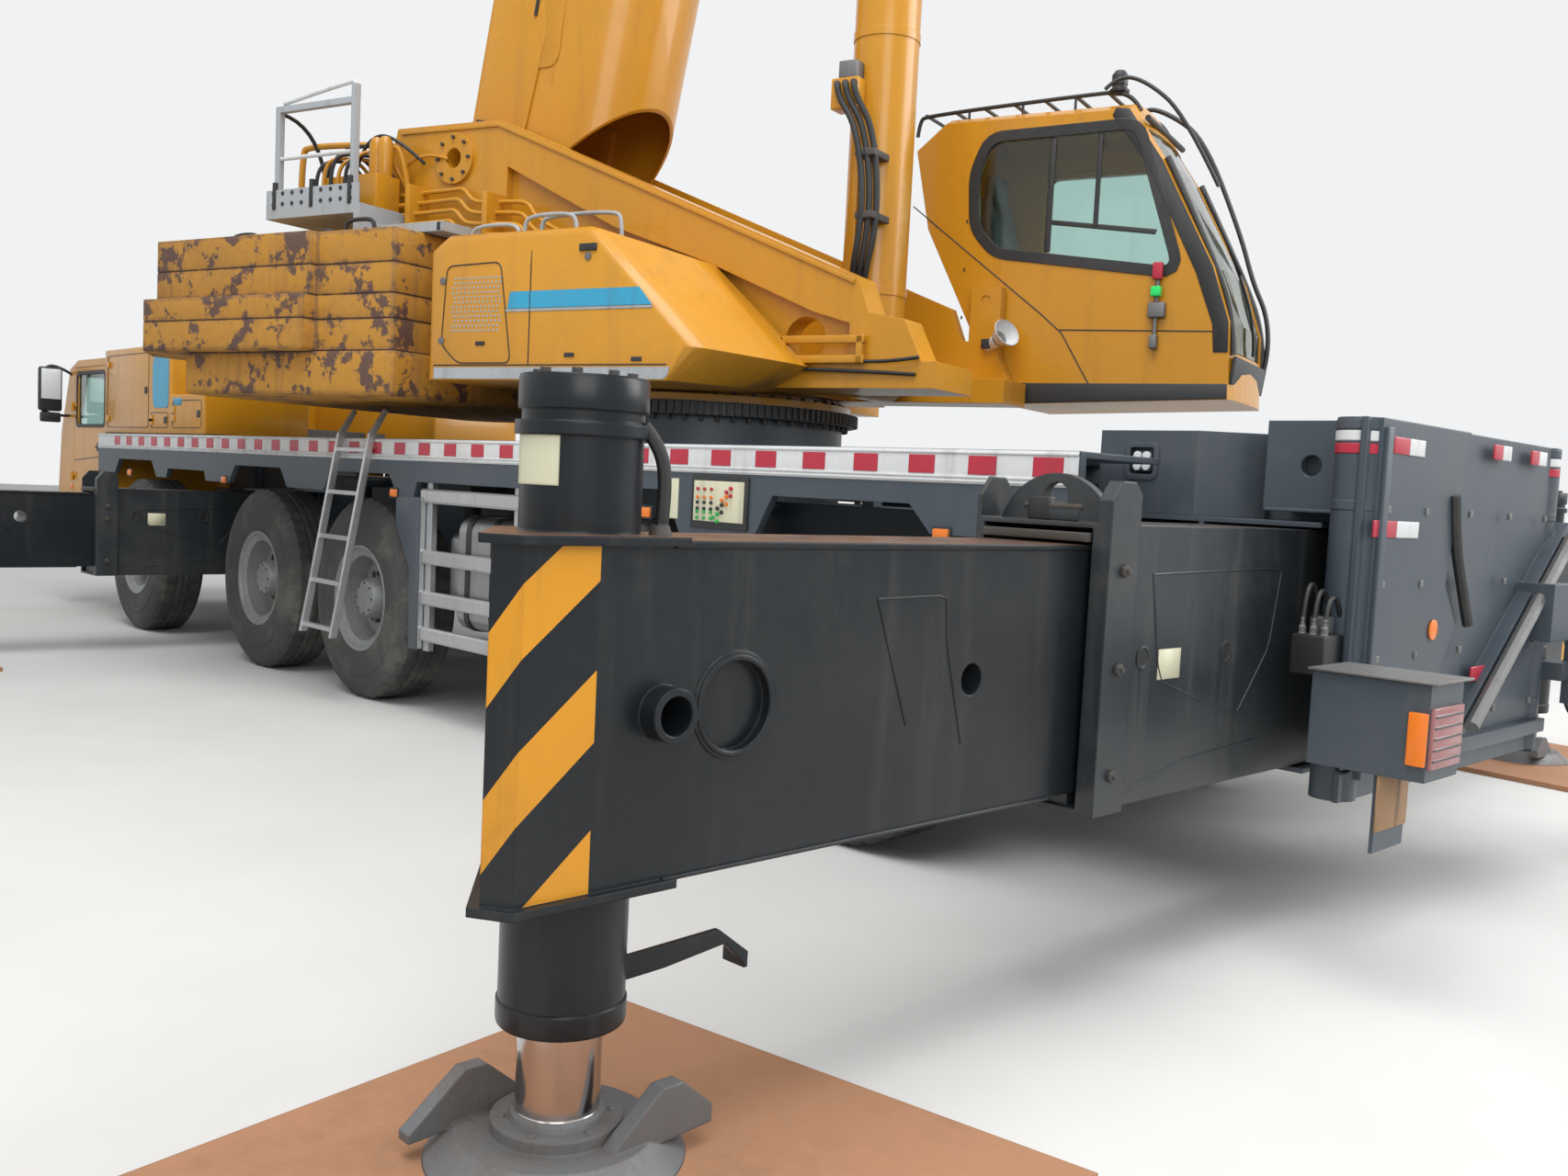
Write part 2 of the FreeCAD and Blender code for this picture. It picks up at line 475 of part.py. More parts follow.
# Outriggers: two telescoping box beams on each corner, with a jack tube on the end and a rod with its float.
for name, beam_x, pitch, outer, inner, low, high, low_in, high_in, jack_top in SETS:
    for side in (1, -1):
        tag = "%s_%s" % (name, side_name(side))
        x = beam_x if side > 0 else beam_x + pitch
        wide = about(x, outer / 2)
        skin = block("StageOneSkin_" + tag, wide, span(side, D.stage_one_inner, D.stage_one_end), (low, high))
        cheek_y = D.stage_one_end - D.cheek_long
        top = high + D.cheek_rise
        cheek_points = [(y * side, z) for y, z in (
            (cheek_y, low), (cheek_y, top - 40), (cheek_y + 40, top), (D.stage_one_end - 50, top),
            (D.stage_one_end, top - 60), (D.stage_one_end, low))]
        if side < 0:
            cheek_points.reverse()
        cheeks = []
        for end, turn, thick in (("Outer", -side, D.cheek_thick), ("Inner", side, D.cheek_thin)):
            face = x + turn * (outer / 2 - 1)
            edge = x + turn * (outer / 2 + thick)
            cheeks.append(prism("StageOneCheek%s_%s" % (end, tag), "yz", cheek_points,
                                *((face, edge) if turn > 0 else (edge, face))))
        arch = rod("ArchRound_" + tag, outer / 2, "y",
                   (x, (cheek_y + 50) * side - D.arch_thick / 2, high + 150 - outer / 2), D.arch_thick)
        above = block("ArchAbove_" + tag, about(x, outer / 2 + 1),
                      span(side, cheek_y + 30, cheek_y + 70), (high - 5, high + outer))
        arch_plate = doc.addObject("Part::Common", "Arch_" + tag)
        arch_plate.Base = arch
        arch_plate.Tool = above
        eye = rod("ArchEye_" + tag, 45, "y", (x, (cheek_y + 50) * side - D.arch_thick, high + 75),
                  D.arch_thick * 2)
        lug = cut("ArchLug_" + tag, arch_plate, [eye])
        y_all = span(side, D.stage_one_inner - 1, D.stage_one_end + 1)
        hollow = block("StageOneHollow_" + tag, about(x, outer / 2 - D.beam_wall), y_all,
                       (low + D.beam_wall, high - D.beam_wall))
        pad = block("StageOnePad_" + tag, about(x, inner / 2 - 20),
                    span(side, D.stage_one_end - 160, D.stage_one_end - 20),
                    (low + D.beam_wall - 5, low_in - D.pad_gap))
        open_beam = cut("StageOneOpen_" + tag, fuse("StageOneAll_" + tag, [skin, lug] + cheeks), [hollow])
        node("outrigger_%s_stage_one" % tag, fuse("StageOne_" + tag, [open_beam, pad]))

        near, far = D.jack_y + D.jack_reach, D.jack_y + D.jack_reach_far
        half = inner / 2
        plan = [(x + half, D.stage_two_inner * side), (x + half, far * side), (x - half + 60, near * side),
                (x - half, (near - 40) * side), (x - half, D.stage_two_inner * side)]
        rim_y = D.stage_one_end + D.stage_two_travel + 20
        rim = [(x + half + 20, rim_y * side), (x + half + 20, (far + 15) * side),
               (x - half + 70, (near + 25) * side), (x - half - 20, (near - 30) * side),
               (x - half - 20, rim_y * side)]
        face = x - half * side
        stub = inward(side, face, -55, 5)
        ring = inward(side, face, -4, 6)
        dish = inward(side, face, -10, 25)
        bore = inward(side, face, -60, 90)
        arm_points = [(y * side, D.jack_tube_low + z) for y, z in (
            (D.jack_y - 90, 85), (D.jack_y - 90, 140), (D.jack_y - 400, 150), (D.jack_y - 500, 75),
            (D.jack_y - 500, 35), (D.jack_y - 420, 110), (D.jack_y - 230, 90))]
        if side < 0:
            arm_points.reverse()
        pieces = [
            prism("StageTwoBeam_" + tag, "xy", plan if side > 0 else plan[::-1], low_in, high_in),
            prism("FlangeLow_" + tag, "xy", rim if side > 0 else rim[::-1], low_in - 20, low_in),
            prism("FlangeHigh_" + tag, "xy", rim if side > 0 else rim[::-1], high_in, high_in + 20),
            rod("JackFoot_" + tag, D.jack_foot_tube, "z", (x, D.jack_y * side, D.jack_tube_low),
                low_in - D.jack_tube_low + 5),
            rod("JackHead_" + tag, D.jack_tube, "z", (x, D.jack_y * side, high_in), jack_top - high_in),
            rod("JackCollar_" + tag, D.jack_tube + 14, "z", (x, D.jack_y * side, jack_top - 130), 30),
            rod("JackCap_" + tag, D.jack_tube + 6, "z", (x, D.jack_y * side, jack_top - 75), 75),
            block("TopPlate_" + tag, about(x, half + 8), span(side, D.stage_two_inner + 20, rim_y + 1),
                  (high_in - 1, high_in + D.top_plate)),
            rod("StubOuter_" + tag, D.stub_radius, "x", (stub[0], D.stub_y * side, D.recess_z), 60),
            rod("RecessRing_" + tag, D.recess_radius + 18, "x", (ring[0], D.recess_y * side, D.recess_z), 10),
            prism("StopArm_" + tag, "yz", arm_points, *inward(side, face, 95, 110)),
            block("StopTab_" + tag, inward(side, face, 95, 175), span(side, D.jack_y - 500, D.jack_y - 488),
                  (D.jack_tube_low + 35, D.jack_tube_low + 75))]
        bores = [rod("StubBore_" + tag, D.stub_radius - 17, "x", (bore[0], D.stub_y * side, D.recess_z), 150),
                 rod("Recess_" + tag, D.recess_radius, "x", (dish[0], D.recess_y * side, D.recess_z), 35),
                 rod("WebHole_" + tag, D.web_hole_radius, "x", (x - half - 1, D.web_hole_y * side, D.recess_z + 5),
                     inner + 2),
                 rod("JackBore_" + tag, D.jack_bore, "z", (x, D.jack_y * side, D.jack_tube_low + 60),
                     jack_top - D.jack_tube_low - 100),
                 rod("JackGland_" + tag, D.jack_rod + D.pin_play, "z", (x, D.jack_y * side, D.jack_tube_low - 1),
                     100)]
        node("outrigger_%s_stage_two" % tag,
             cut("StageTwo_" + tag, fuse("StageTwoAll_" + tag, pieces), bores))

        foot = doc.addObject("Part::Cone", "FloatDish_" + tag)
        bind(foot, "Radius1", D.float_radius)
        bind(foot, "Radius2", D.float_radius - 70)
        bind(foot, "Height", D.float_top - 30 - D.mat_thick)
        seat(foot, x, D.jack_y * side, D.mat_thick + 0.3)
        clips = []
        for k in (1, -1):
            clip_points = [((D.jack_y + k * 150 + along) * side, D.mat_thick + rise) for along, rise in (
                (-150, 55), (-150, 100), (-60, 175), (0, 175), (140, 60), (140, 40))]
            if side < 0:
                clip_points.reverse()
            clips.append(prism("FloatClip%d_%s" % (k, tag), "yz", clip_points,
                               x - 22 + k * (D.jack_rod + 80), x + 22 + k * (D.jack_rod + 80)))
        pieces = clips + [
            foot,
            rod("FloatCollar_" + tag, D.jack_rod + 55, "z", (x, D.jack_y * side, D.mat_thick + 20),
                D.float_top - D.mat_thick - 20),
            rod("JackRod_" + tag, D.jack_rod, "z", (x, D.jack_y * side, D.mat_thick + 20),
                jack_top - 340 - D.mat_thick)]
        node("outrigger_%s_foot" % tag, fuse("Foot_" + tag, pieces))

# Mats: four steel plates under the floats.
mats = []
for name, beam_x, pitch, *rest in SETS:
    for side in (1, -1):
        x = beam_x + D.mat_shift if side > 0 else beam_x + pitch + D.mat_shift
        mat = block("Mat_%s_%s" % (name, side_name(side)), (0, D.mat_side), (0, D.mat_side), (0, D.mat_thick))
        angle = math.radians(amount(D.mat_turn) * side)
        half = D.mat_side / 2
        mat.Placement = FreeCAD.Placement(FreeCAD.Vector(),
                                          FreeCAD.Rotation(FreeCAD.Vector(0, 0, 1), amount(D.mat_turn) * side))
        seat(mat, x - half * (math.cos(angle) - math.sin(angle)),
             D.jack_y * side - half * (math.cos(angle) + math.sin(angle)), 0)
        mats.append(mat)
node("outrigger_mats", group("OutriggerMats", mats))

# Driver's cab: a hollow shell with doorways, a windscreen opening and its pane.
wall = D.cab_wall
screen_low, screen_high, screen_half = 1850, 2380, 1230
shell_points = [
    (D.cab_rear, D.cab_floor), (D.cab_rear, D.cab_roof - 60), (D.cab_rear + 60, D.cab_roof),
    (D.front_end - 585, D.cab_roof), (D.front_end - 335, D.cab_roof - 80), (D.front_end - 75, 1800),
    (D.front_end, 1250), (D.front_end, D.cab_floor)]
void_points = [
    (D.cab_rear + wall, D.cab_floor + wall), (D.cab_rear + wall, D.cab_roof - 77),
    (D.cab_rear + 77, D.cab_roof - wall), (D.front_end - 593, D.cab_roof - wall),
    (D.front_end - 366, D.cab_roof - 112), (D.front_end - 114, 1792), (D.front_end - wall, 1248),
    (D.front_end - wall, D.cab_floor + wall)]
shell = prism("CabShell", "xz", shell_points, -D.cab_half, D.cab_half)
cuts = [prism("CabVoid", "xz", void_points, -D.cab_half + wall, D.cab_half - wall),
        block("ScreenHole", (D.front_end - 400, D.front_end + 10), (-screen_half, screen_half),
              (screen_low, screen_high))]
for side in (1, -1):
    cuts.append(block("Doorway_" + side_name(side), (D.door_rear, D.door_front),
                      span(side, D.cab_half - wall - 5, D.cab_half + 5), (D.door_low, D.door_top)))
hinge_y = D.cab_half + 16
HINGES = (1300, 2000)
hinge_parts = []
for side in (1, -1):
    for k, z in enumerate(HINGES):
        tag = "%d%s" % (k, side_name(side))
        hinge_parts.append(rod("HingeEye_" + tag, 14, "z", (D.door_front, hinge_y * side, z), 40))
        hinge_parts.append(rod("HingePin_" + tag, 6, "z", (D.door_front, hinge_y * side, z), 85))
        hinge_parts.append(block("HingeLeaf_" + tag, (D.door_front, D.door_front + 70),
                                 span(side, D.cab_half - 5, hinge_y - 8), (z, z + 40)))
node("driver_cab", fuse("DriverCab", [cut("DriverCabShell", shell, cuts)] + hinge_parts))
slope = 260 / 620
pane_x = [D.front_end - 75 - (z - 1800) * slope for z in (screen_low, screen_high)]
pane = prism("DriverScreen", "xz", [
    (pane_x[0] - 14, screen_low), (pane_x[1] - 14, screen_high), (pane_x[1] - 24, screen_high),
    (pane_x[0] - 24, screen_low)], 0 - screen_half, screen_half)
node("driver_cab_glass", pane)
for side in (1, -1):
    gap = D.door_gap
    leaf = block("DoorLeaf_" + side_name(side), (D.door_rear + gap, D.door_front - gap),
                 span(side, D.cab_half - wall, D.cab_half), (D.door_low + gap, D.door_top - gap))
    hole = block("DoorWindow_" + side_name(side), (D.door_rear + 90, D.door_front - 90),
                 span(side, D.cab_half - wall - 5, D.cab_half + 5), (1860, D.door_top - 70))
    pieces = [cut("DoorOpen_" + side_name(side), leaf, [hole])]
    pins = []
    for k, z in enumerate(HINGES):
        tag = "%d%s" % (k, side_name(side))
        z_eye = z + 40 + D.pin_play
        pieces.append(rod("DoorEye_" + tag, 14, "z", (D.door_front, hinge_y * side, z_eye), 40))
        pieces.append(block("DoorStrap_" + tag, (D.door_front - 90, D.door_front),
                            span(side, D.cab_half, hinge_y - 8), (z_eye, z_eye + 40)))
        pins.append(rod("DoorEyeHole_" + tag, 6 + D.pin_play, "z", (D.door_front, hinge_y * side, z_eye - 1), 42))
    node("driver_door_" + side_name(side), cut("DriverDoor_" + side_name(side),
                                               fuse("DoorAll_" + side_name(side), pieces), pins))

# Side boxes behind the cab, one each side of the trough that the boom's ram lies in when travelling.
boxes = []
for side in (1, -1):
    boxes.append(prism("SideBox_" + side_name(side), "xz", [
        (D.box_rear, D.deck_top), (D.box_rear, D.box_low_top), (D.box_step, D.box_low_top),
        (D.box_step, D.box_top), (D.box_front, D.box_top), (D.box_front, D.deck_top)],
        *span(side, D.trough_half, D.box_half)))
node("side_boxes", group("SideBoxes", boxes))
node("carrier_engine", block("CarrierEngine", (D.box_step + 70, D.box_front - 110), (-340, 340),
                             (D.bay_top, D.bay_top + 600)))

# Tanks hung between the third and fourth axles, each with a smaller air vessel in front of it.
tanks = []
for side in (1, -1):
    tank = block("Tank_" + side_name(side), about(tank_x, D.tank_half), span(side, D.tank_inner, D.tank_outer),
                 (D.tank_low, D.tank_high))
    tanks.append(rounded("TankRound_" + side_name(side), tank, "x", D.tank_round))
    vessel = block("Vessel_" + side_name(side), (tank_x + D.tank_half + D.pad_gap, tank_x + D.tank_half + D.vessel_long),
                   span(side, D.vessel_inner, D.vessel_outer), (D.vessel_low, D.vessel_high))
    tanks.append(rounded("VesselRound_" + side_name(side), vessel, "x", 60))
node("fuel_tanks", group("FuelTanks", tanks))

# Side guards of four bars on two posts, with the tapered panel behind the third wheel, and the access ladder
# that leans on the rail.
GUARD_BARS = (1415, 1030, 770, 540)
RUNGS = (500, 800, 1100, 1400, 1690)
rails = []
y_rail = D.half_width - D.skirt_thick
for side in (1, -1):
    tag = side_name(side)
    pieces = [block("GuardPost%d_%s" % (k, tag), about(x, 30), span(side, y_rail - 40, y_rail),
                    (D.guard_low, D.guard_high))
              for k, x in enumerate((D.guard_front - 60, D.guard_rear + 60))]
    pieces.append(prism("GuardPanel_" + tag, "xz", [
        (D.axle_c - D.arch_half_low, D.skirt_low - D.pad_gap), (D.axle_c - 840, D.skirt_low - D.pad_gap),
        (D.axle_c - 840, 440), (D.axle_c - 745, 440), (D.axle_c - 715, 950),
        (D.axle_c - D.arch_half_low, 1225)], *span(side, y_rail, D.half_width)))
    for k, z in enumerate(GUARD_BARS):
        y_bar = y_rail + D.bar_deep
        bar = [(y * side, rise + z) for y, rise in (
            (y_rail, -D.bar_half), (y_bar - 10, -D.bar_half), (y_bar, 13 - D.bar_half),
            (y_bar, D.bar_half - 13), (y_bar - 10, D.bar_half), (y_rail, D.bar_half))]
        pieces.append(prism("GuardBar%d_%s" % (k, tag), "yz", bar if side > 0 else bar[::-1],
                            D.guard_rear, D.guard_front))
    rails.append(fuse("Guard_" + tag, pieces))
LADDER = (D.ladder_rear, D.ladder_front)
stile_points = [
    (D.half_width + 8, D.ladder_bend), (D.half_width - 80, D.ladder_bend + 160),
    (D.half_width - 55, D.ladder_bend + 178), (D.half_width + 52, D.ladder_bend + 10),
    (D.half_width + D.ladder_lean + 50, D.ladder_foot), (D.half_width + D.ladder_lean, D.ladder_foot)]
pieces = [prism("Stile%d" % k, "yz", stile_points, x - D.stile_half, x + D.stile_half)
          for k, x in enumerate(LADDER)]
for k, z in enumerate(RUNGS):
    share = (D.ladder_bend - z) / (amount(D.ladder_bend) - amount(D.ladder_foot))
    y = D.half_width + 28 + (D.ladder_lean - 8) * share
    pieces.append(block("Rung%d" % k, LADDER, about(y, 20), (z - D.rung_half, D.rung_half + z)))
for k, x in enumerate(LADDER):
    pieces.append(block("LadderHook%d" % k, about(x, D.stile_half), (D.half_width - 60, D.half_width + 30),
                        (D.deck_top + D.pad_gap, D.deck_top + 30)))
rails.append(fuse("Ladder", pieces))
node("guards_and_ladder", group("GuardsAndLadder", rails))

# Tail: the lamp housing over the rear outrigger box, the panel behind it, the rear wall with its strut and
# the lamp boxes on their arms.
rear_box_top = D.rear_high + D.beam_play + D.box_wall
wall_front = D.wall_thick - D.tail_wall
housing_front = box_ends["rear"][1]
half, neck = D.housing_half, D.housing_neck
housing_plan = [(housing_front, half), (-D.housing_step, half), (-D.housing_end, neck + 40),
                (-D.housing_end, -neck - 40), (-D.housing_step, -half), (housing_front, -half)]
panel_x = (wall_front, -D.panel_front)
on_wall = 1 - D.tail_wall
tail_pieces = [
    prism("LampHousing", "xy", housing_plan, rear_box_top, D.housing_top),
    block("HousingLink", (-D.panel_front - 1, 1 - D.housing_end), (-neck, neck),
          (rear_box_top, D.housing_top - 20)),
    block("TailPanel", panel_x, (-half, half), (D.panel_low, D.panel_high)),
    block("TailPanelFoot", panel_x, (-neck, neck), (rear_box_top, D.panel_low + 10)),
    block("TailBeam", (wall_front, box_ends["rear"][0]), (-neck, neck), (D.wall_low + 140, rear_box_top + 1)),
    block("TailWall", (-D.tail_wall, wall_front + 1), (-D.wall_half, D.wall_half), (D.wall_low, D.panel_high)),
    prism("WallPanel", "yz", [
        (D.wall_half - 60, D.wall_low + 140), (D.wall_half - 60, D.panel_high), (160, D.panel_high), (240, 1640),
        (300, 1330), (160, 1170), (350, 900)], on_wall - 31, on_wall),
    prism("TailStrut", "yz", [(-1050, 1599), (-1090, 1543), (52, 719), (92, 775)], on_wall - 61, on_wall),
    block("TailBracket", (on_wall - 151, on_wall), (-900, -620), (1080, 1330))]
lamp_x = (-D.tail_end, D.lamp_long - D.tail_end)
lamp_y = (D.lamp_in, D.lamp_out)
tail_holes = []
for side in (1, -1):
    tag = side_name(side)
    tail_pieces.append(rod("TailColumn_" + tag, D.column_radius, "z",
                           (wall_front + D.column_radius / 2, (D.wall_half - 90) * side, D.wall_low),
                           D.panel_high - D.wall_low))
    tail_pieces.append(block("PanelLip_" + tag, (wall_front + 80, -D.panel_front - 10),
                             span(side, neck + 100, half + 8), (D.panel_low - 4, D.panel_low + 6)))
    tail_pieces.append(block("LampBox_" + tag, lamp_x, span(side, *lamp_y), (D.lamp_low, D.lamp_high)))
    tail_pieces.append(block("LampArm_" + tag, (lamp_x[1] - 50, wall_front),
                             span(side, D.wall_half - 60, D.lamp_in + 20), (D.lamp_low + 120, D.lamp_low + 200)))
    tail_pieces.append(block("HangingPlate_" + tag, (lamp_x[0] + 150, lamp_x[0] + 162),
                             span(side, D.lamp_in + 10, D.lamp_out - 20), (500, D.lamp_low + 1)))
    start = half - 60 if side > 0 else -half - 5
    tail_holes.append(rod("PanelHole_" + tag, 40, "y", (-D.panel_front - 180, start, 1761), 65))
    tail_holes.append(block("LampRecess_" + tag, about(250 - D.housing_step, 60), span(side, half - 30, half + 5),
                            about(D.housing_top - 125, 60)))
node("tail", cut("Tail", fuse("TailAll", tail_pieces), tail_holes))

# The superstructure's own frame, on the slew axis
SLEW = FreeCAD.Placement(FreeCAD.Vector(amount(D.slew_x), 0, 0),
                         FreeCAD.Rotation(FreeCAD.Vector(0, 0, 1), amount(D.slew_angle)))
FOOT = FreeCAD.Placement(FreeCAD.Vector(amount(D.foot_x), 0, amount(D.foot_z)),
                         FreeCAD.Rotation(FreeCAD.Vector(0, 1, 0), -amount(D.boom_angle)))


def upper(name, thing):
    """A superstructure piece: placed on the slew axis after its shape."""
    doc.recompute()
    thing.Placement = SLEW
    return node(name, thing)


def on_boom(name, thing):
    doc.recompute()
    thing.Placement = SLEW * FOOT
    return node(name, thing)


# Turntable: the upper race, a forked base plate and two cheek plates that carry the boom's foot pin.
cheek_points = [
    (-2190, D.weight_base_top + D.pin_play), (-2190, 3500), (-2090, 3860), (-1180, 3840), (549, 3132),
    (1473, 2753), (1552, 2557), (1771, 2518), (1888, 2288), (1970, D.base_low + 5), (-1265, D.base_low + 5),
    (-1265, D.weight_base_top + D.pin_play)]
CHEEKS = ((1, D.cheek_left), (-1, D.cheek_outer))
pieces = [
    rod("UpperRace", D.race_radius - 30, "z", (0, 0, D.race_split + D.pin_play), 45),
    rod("RaceNeck", D.cheek_outer - 10, "z", (0, 0, D.race_split + 40), D.base_low - D.race_split - 40),
    block("BasePlate", (-1265, 930), (-D.cheek_outer, D.cheek_outer), (D.base_low, D.base_top)),
    block("WinchFloor", (-2190, -1200), (-D.cheek_inner - 10, D.cheek_inner + 10),
          (D.weight_base_top + D.pin_play, D.weight_base_top + 65))]
for side, outer in CHEEKS:
    tag = side_name(side)
    pieces.append(block("ForkArm_" + tag, (920, 1970), span(side, 240, outer), (D.base_low, D.base_top)))
    pieces.append(prism("Cheek_" + tag, "xz", cheek_points, *span(side, D.cheek_inner, outer)))
    pieces.append(block("RamLug_" + tag, about(D.ram_x, 150), span(side, 240, 340), (D.base_low, D.ram_z + 150)))
tilt_lug = block("TiltLug", about(D.tilt_x, 100), (D.cheek_inner, D.op_cab_inner - 20),
                 (2450, D.tilt_z + 80))
pieces.append(tilt_lug)
pieces.append(rod("FootPin", D.foot_pin, "y", (D.foot_x, -D.cheek_outer - 20, D.foot_z),
                  D.cheek_outer + D.cheek_left + 40))
pieces.append(rod("FootFlange", D.foot_pin + 65, "y", (D.foot_x, -D.cheek_outer - 25, D.foot_z), 30))
bores = [
    rod("RamHole", D.ram_pin + D.pin_play, "y", (D.ram_x, -345, D.ram_z), 690),
    rod("DrumHole", 40 + D.pin_play, "y", (D.drum_x, -800, D.drum_z), 1600),
    rod("FrontHole", 130, "y", (1130, -800, 2420), 1600),
    rod("FootPinHollow", D.foot_pin - 35, "y", (D.foot_x, -D.cheek_outer - 30, D.foot_z), 200),
    prism("WebRecess", "xz", [(-1100, 3540), (-219, 3110), (500, 2861), (1200, 2570), (1440, 2500), (1440, 2330),
                              (-1100, 2330)], -D.cheek_outer - 1, D.web_recess - D.cheek_outer),
    rod("TiltHole", 30 + D.pin_play, "y", (D.tilt_x, D.cheek_inner - 5, D.tilt_z), D.op_cab_inner - D.cheek_inner)]
upper("turntable", cut("Turntable", fuse("TurntableAll", pieces), bores))

# Machinery hoods: the engine hood on the right, a smaller panel in front of it and the tank on the left.
y_hood = (-D.hood_side, -D.cheek_outer - 0.3)


def hood_outline(t, drop):
    """The engine hood's section: its front leans back towards the outside, and the outer edge is rounded."""
    rear = D.hood_rear + drop
    return [(rear, D.hood_low), (rear, D.hood_top - 75 - drop), (rear + 120, D.hood_top - drop),
            (130, D.hood_top - drop), (150 + 384 * t, D.hood_top - 2 - 122 * t - drop),
            (890 + 322 * t - drop, 2300 - 42 * t), (720 + 212 * t, D.hood_low)]


hoods = [
    loft("EngineHood", [(y, hood_outline(t, drop)) for y, t, drop in (
        (y_hood[0], 0, 60), (y_hood[0] + 18, 0.04, 22), (y_hood[0] + 60, 0.133, 0), (y_hood[0] + D.hood_facet, 1, 0),
        (y_hood[1], 1, 0))]),
    prism("TankHood", "xz", [(-1000, D.hood_low), (-1000, 2700), (-900, 2800), (500, 2800), (560, 2700),
                             (560, D.hood_low)], D.cheek_outer + 0.3, D.hood_side - 50)]
upper("machinery_hoods", group("MachineryHoods", hoods))

# Counterweight: a base block and four cast slabs, open in front for the winch.
base_points = [(-1280, 1500), (-3250, 1500), (-3400, 1350), (-3400, -1350), (-3250, -1500), (-1280, -1500)]
weights = [prism("WeightBase", "xy", base_points, D.weight_base_low, D.weight_base_top)]
levels = (D.weight_base_top, D.slab_1, D.slab_2, D.slab_3, D.slab_4)
for k in range(4):
    step = 0 if k < 2 else 60
    half = D.weight_half - step
    front = -D.weight_front
    rear = -D.weight_rear + step
    nose, wide = -D.weight_nose, -D.weight_step
    ahead = D.weight_half - 120
    points = [(nose, ahead), (wide, ahead), (wide, half), (rear + 380, half), (rear, half - 330),
              (rear, -half + 330), (rear + 380, -half), (wide, -half), (wide, -ahead), (nose, -ahead),
              (nose, -770), (front - 345, -770), (front - 345, -350), (front - 545, -350),
              (front - 545, 350), (front - 345, 350), (front - 345, 770), (nose, 770)]
    weights.append(prism("Slab%d" % k, "xy", points, levels[k] + D.slab_gap, levels[k + 1]))
upper("counterweight", group("Counterweight", weights))

# Service platform with its rails, on the right cheek above the engine hood.
y_rear = (-D.platform_side, -D.cheek_outer - 50)
pieces = [
    block("PlatformFloor", (D.platform_step, D.platform_front), (-D.platform_side, -D.cheek_outer - 0.3),
          (D.slab_4 + 5, D.slab_4 + 5 + D.platform_thick)),
    block("PlatformRear", (D.platform_rear, D.platform_step), y_rear,
          (D.platform_high, D.platform_high + D.platform_thick)),
    block("PlatformRiser", (D.platform_step - 60, D.platform_step), y_rear,
          (D.slab_4 + 5, D.platform_high + D.platform_thick)),
    block("ToeBoard", (D.platform_rear, D.platform_step - 20), (-D.platform_side, 15 - D.platform_side),
          (D.platform_high + D.platform_thick, D.platform_high + 190))]
y_post = (15 - D.platform_side, 55 - D.platform_side)
for k, x in enumerate((D.platform_rear + 80, D.platform_step - 100)):
    pieces.append(block("Post%d" % k, about(x, 20), y_post, (D.platform_high + 50, D.rail_high + 100 * k)))
pieces.append(block("TopRail", (D.platform_rear + 60, D.platform_step - 80), y_post,
                    (D.rail_high - 20, D.rail_high + 20)))
upper("service_platform", fuse("ServicePlatform", pieces))

# Hoist drum between the cheeks
drum = fuse("DrumAll", [
    rod("DrumBarrel", D.drum_radius, "y", (D.drum_x, -420, D.drum_z), 840),
    rod("DrumFlangeLeft", D.drum_flange, "y", (D.drum_x, 380, D.drum_z), 40),
    rod("DrumFlangeRight", D.drum_flange, "y", (D.drum_x, -420, D.drum_z), 40),
    rod("DrumShaft", 40, "y", (D.drum_x, -700, D.drum_z), 1400)])
upper("hoist_drum", drum)

# Operator's cab: a hollow tilting shell with its windows cut, panes in them and a sliding door.
inner, outer, wall = D.op_cab_inner, D.op_cab_outer, D.op_cab_wall


def op_outline(b):
    """The cab's section: the roof and the windscreen swell by the share b towards the middle."""
    return [(1812, 2168), (1238, 3273), (1129, 3773), (1324, 3928 + 80 * b), (2500, 3912 + 85 * b),
            (2715 + 45 * b, 3600), (3051 + 45 * b, 2970), (3161 + 40 * b, 2654), (3183 + 30 * b, 2210)]


def op_void(b):
    """The hollow inside the cab's section."""
    return [(1832, 2200), (1272, 3280), (1162, 3768), (1336, 3897 + 80 * b), (2484, 3880 + 85 * b),
            (2683 + 45 * b, 3590), (3020 + 45 * b, 2962), (3130 + 40 * b, 2650), (3152 + 30 * b, 2240)]


SWELL = ((0.1, 0.55), (0.27, 0.9), (0.5, 1), (0.73, 0.9), (0.9, 0.55))
side_window = [(1644, 3787), (2540, 3791), (2813, 2979), (1718, 3135), (1585, 3283), (1565, 3596)]
front_window = [(2500, 3800), (2900, 3800), (3400, 3000), (3400, 2480), (3060, 2480), (3050, 2650),
                (2930, 2960), (2600, 3590)]
shell = loft("OpShell", [(inner, op_outline(0))] + [
    (inner + (outer - inner) * t, op_outline(b)) for t, b in SWELL] + [(outer, op_outline(0))])
cuts = [loft("OpVoid", [(inner + wall, op_void(0.1))] + [
    (inner + (outer - inner) * t, op_void(b - 0.05)) for t, b in SWELL] + [(outer - wall, op_void(0.1))]),
        prism("OpSideWindow", "xz", side_window, inner - 5, inner + wall + 5),
        prism("OpFrontWindow", "xz", front_window, inner + 60, outer - 60),
        prism("OpDoorway", "xz", [(1700, 2750), (1700, 3780), (2450, 3780), (2780, 3000), (2780, 2750)],
              outer - wall - 5, outer + 5)]
pin = rod("TiltPin", 30, "y", (D.tilt_x, D.cheek_inner + 5, D.tilt_z), inner - D.cheek_inner)
upper("operator_cab", fuse("OperatorCab", [cut("OpShellCut", shell, cuts), pin]))


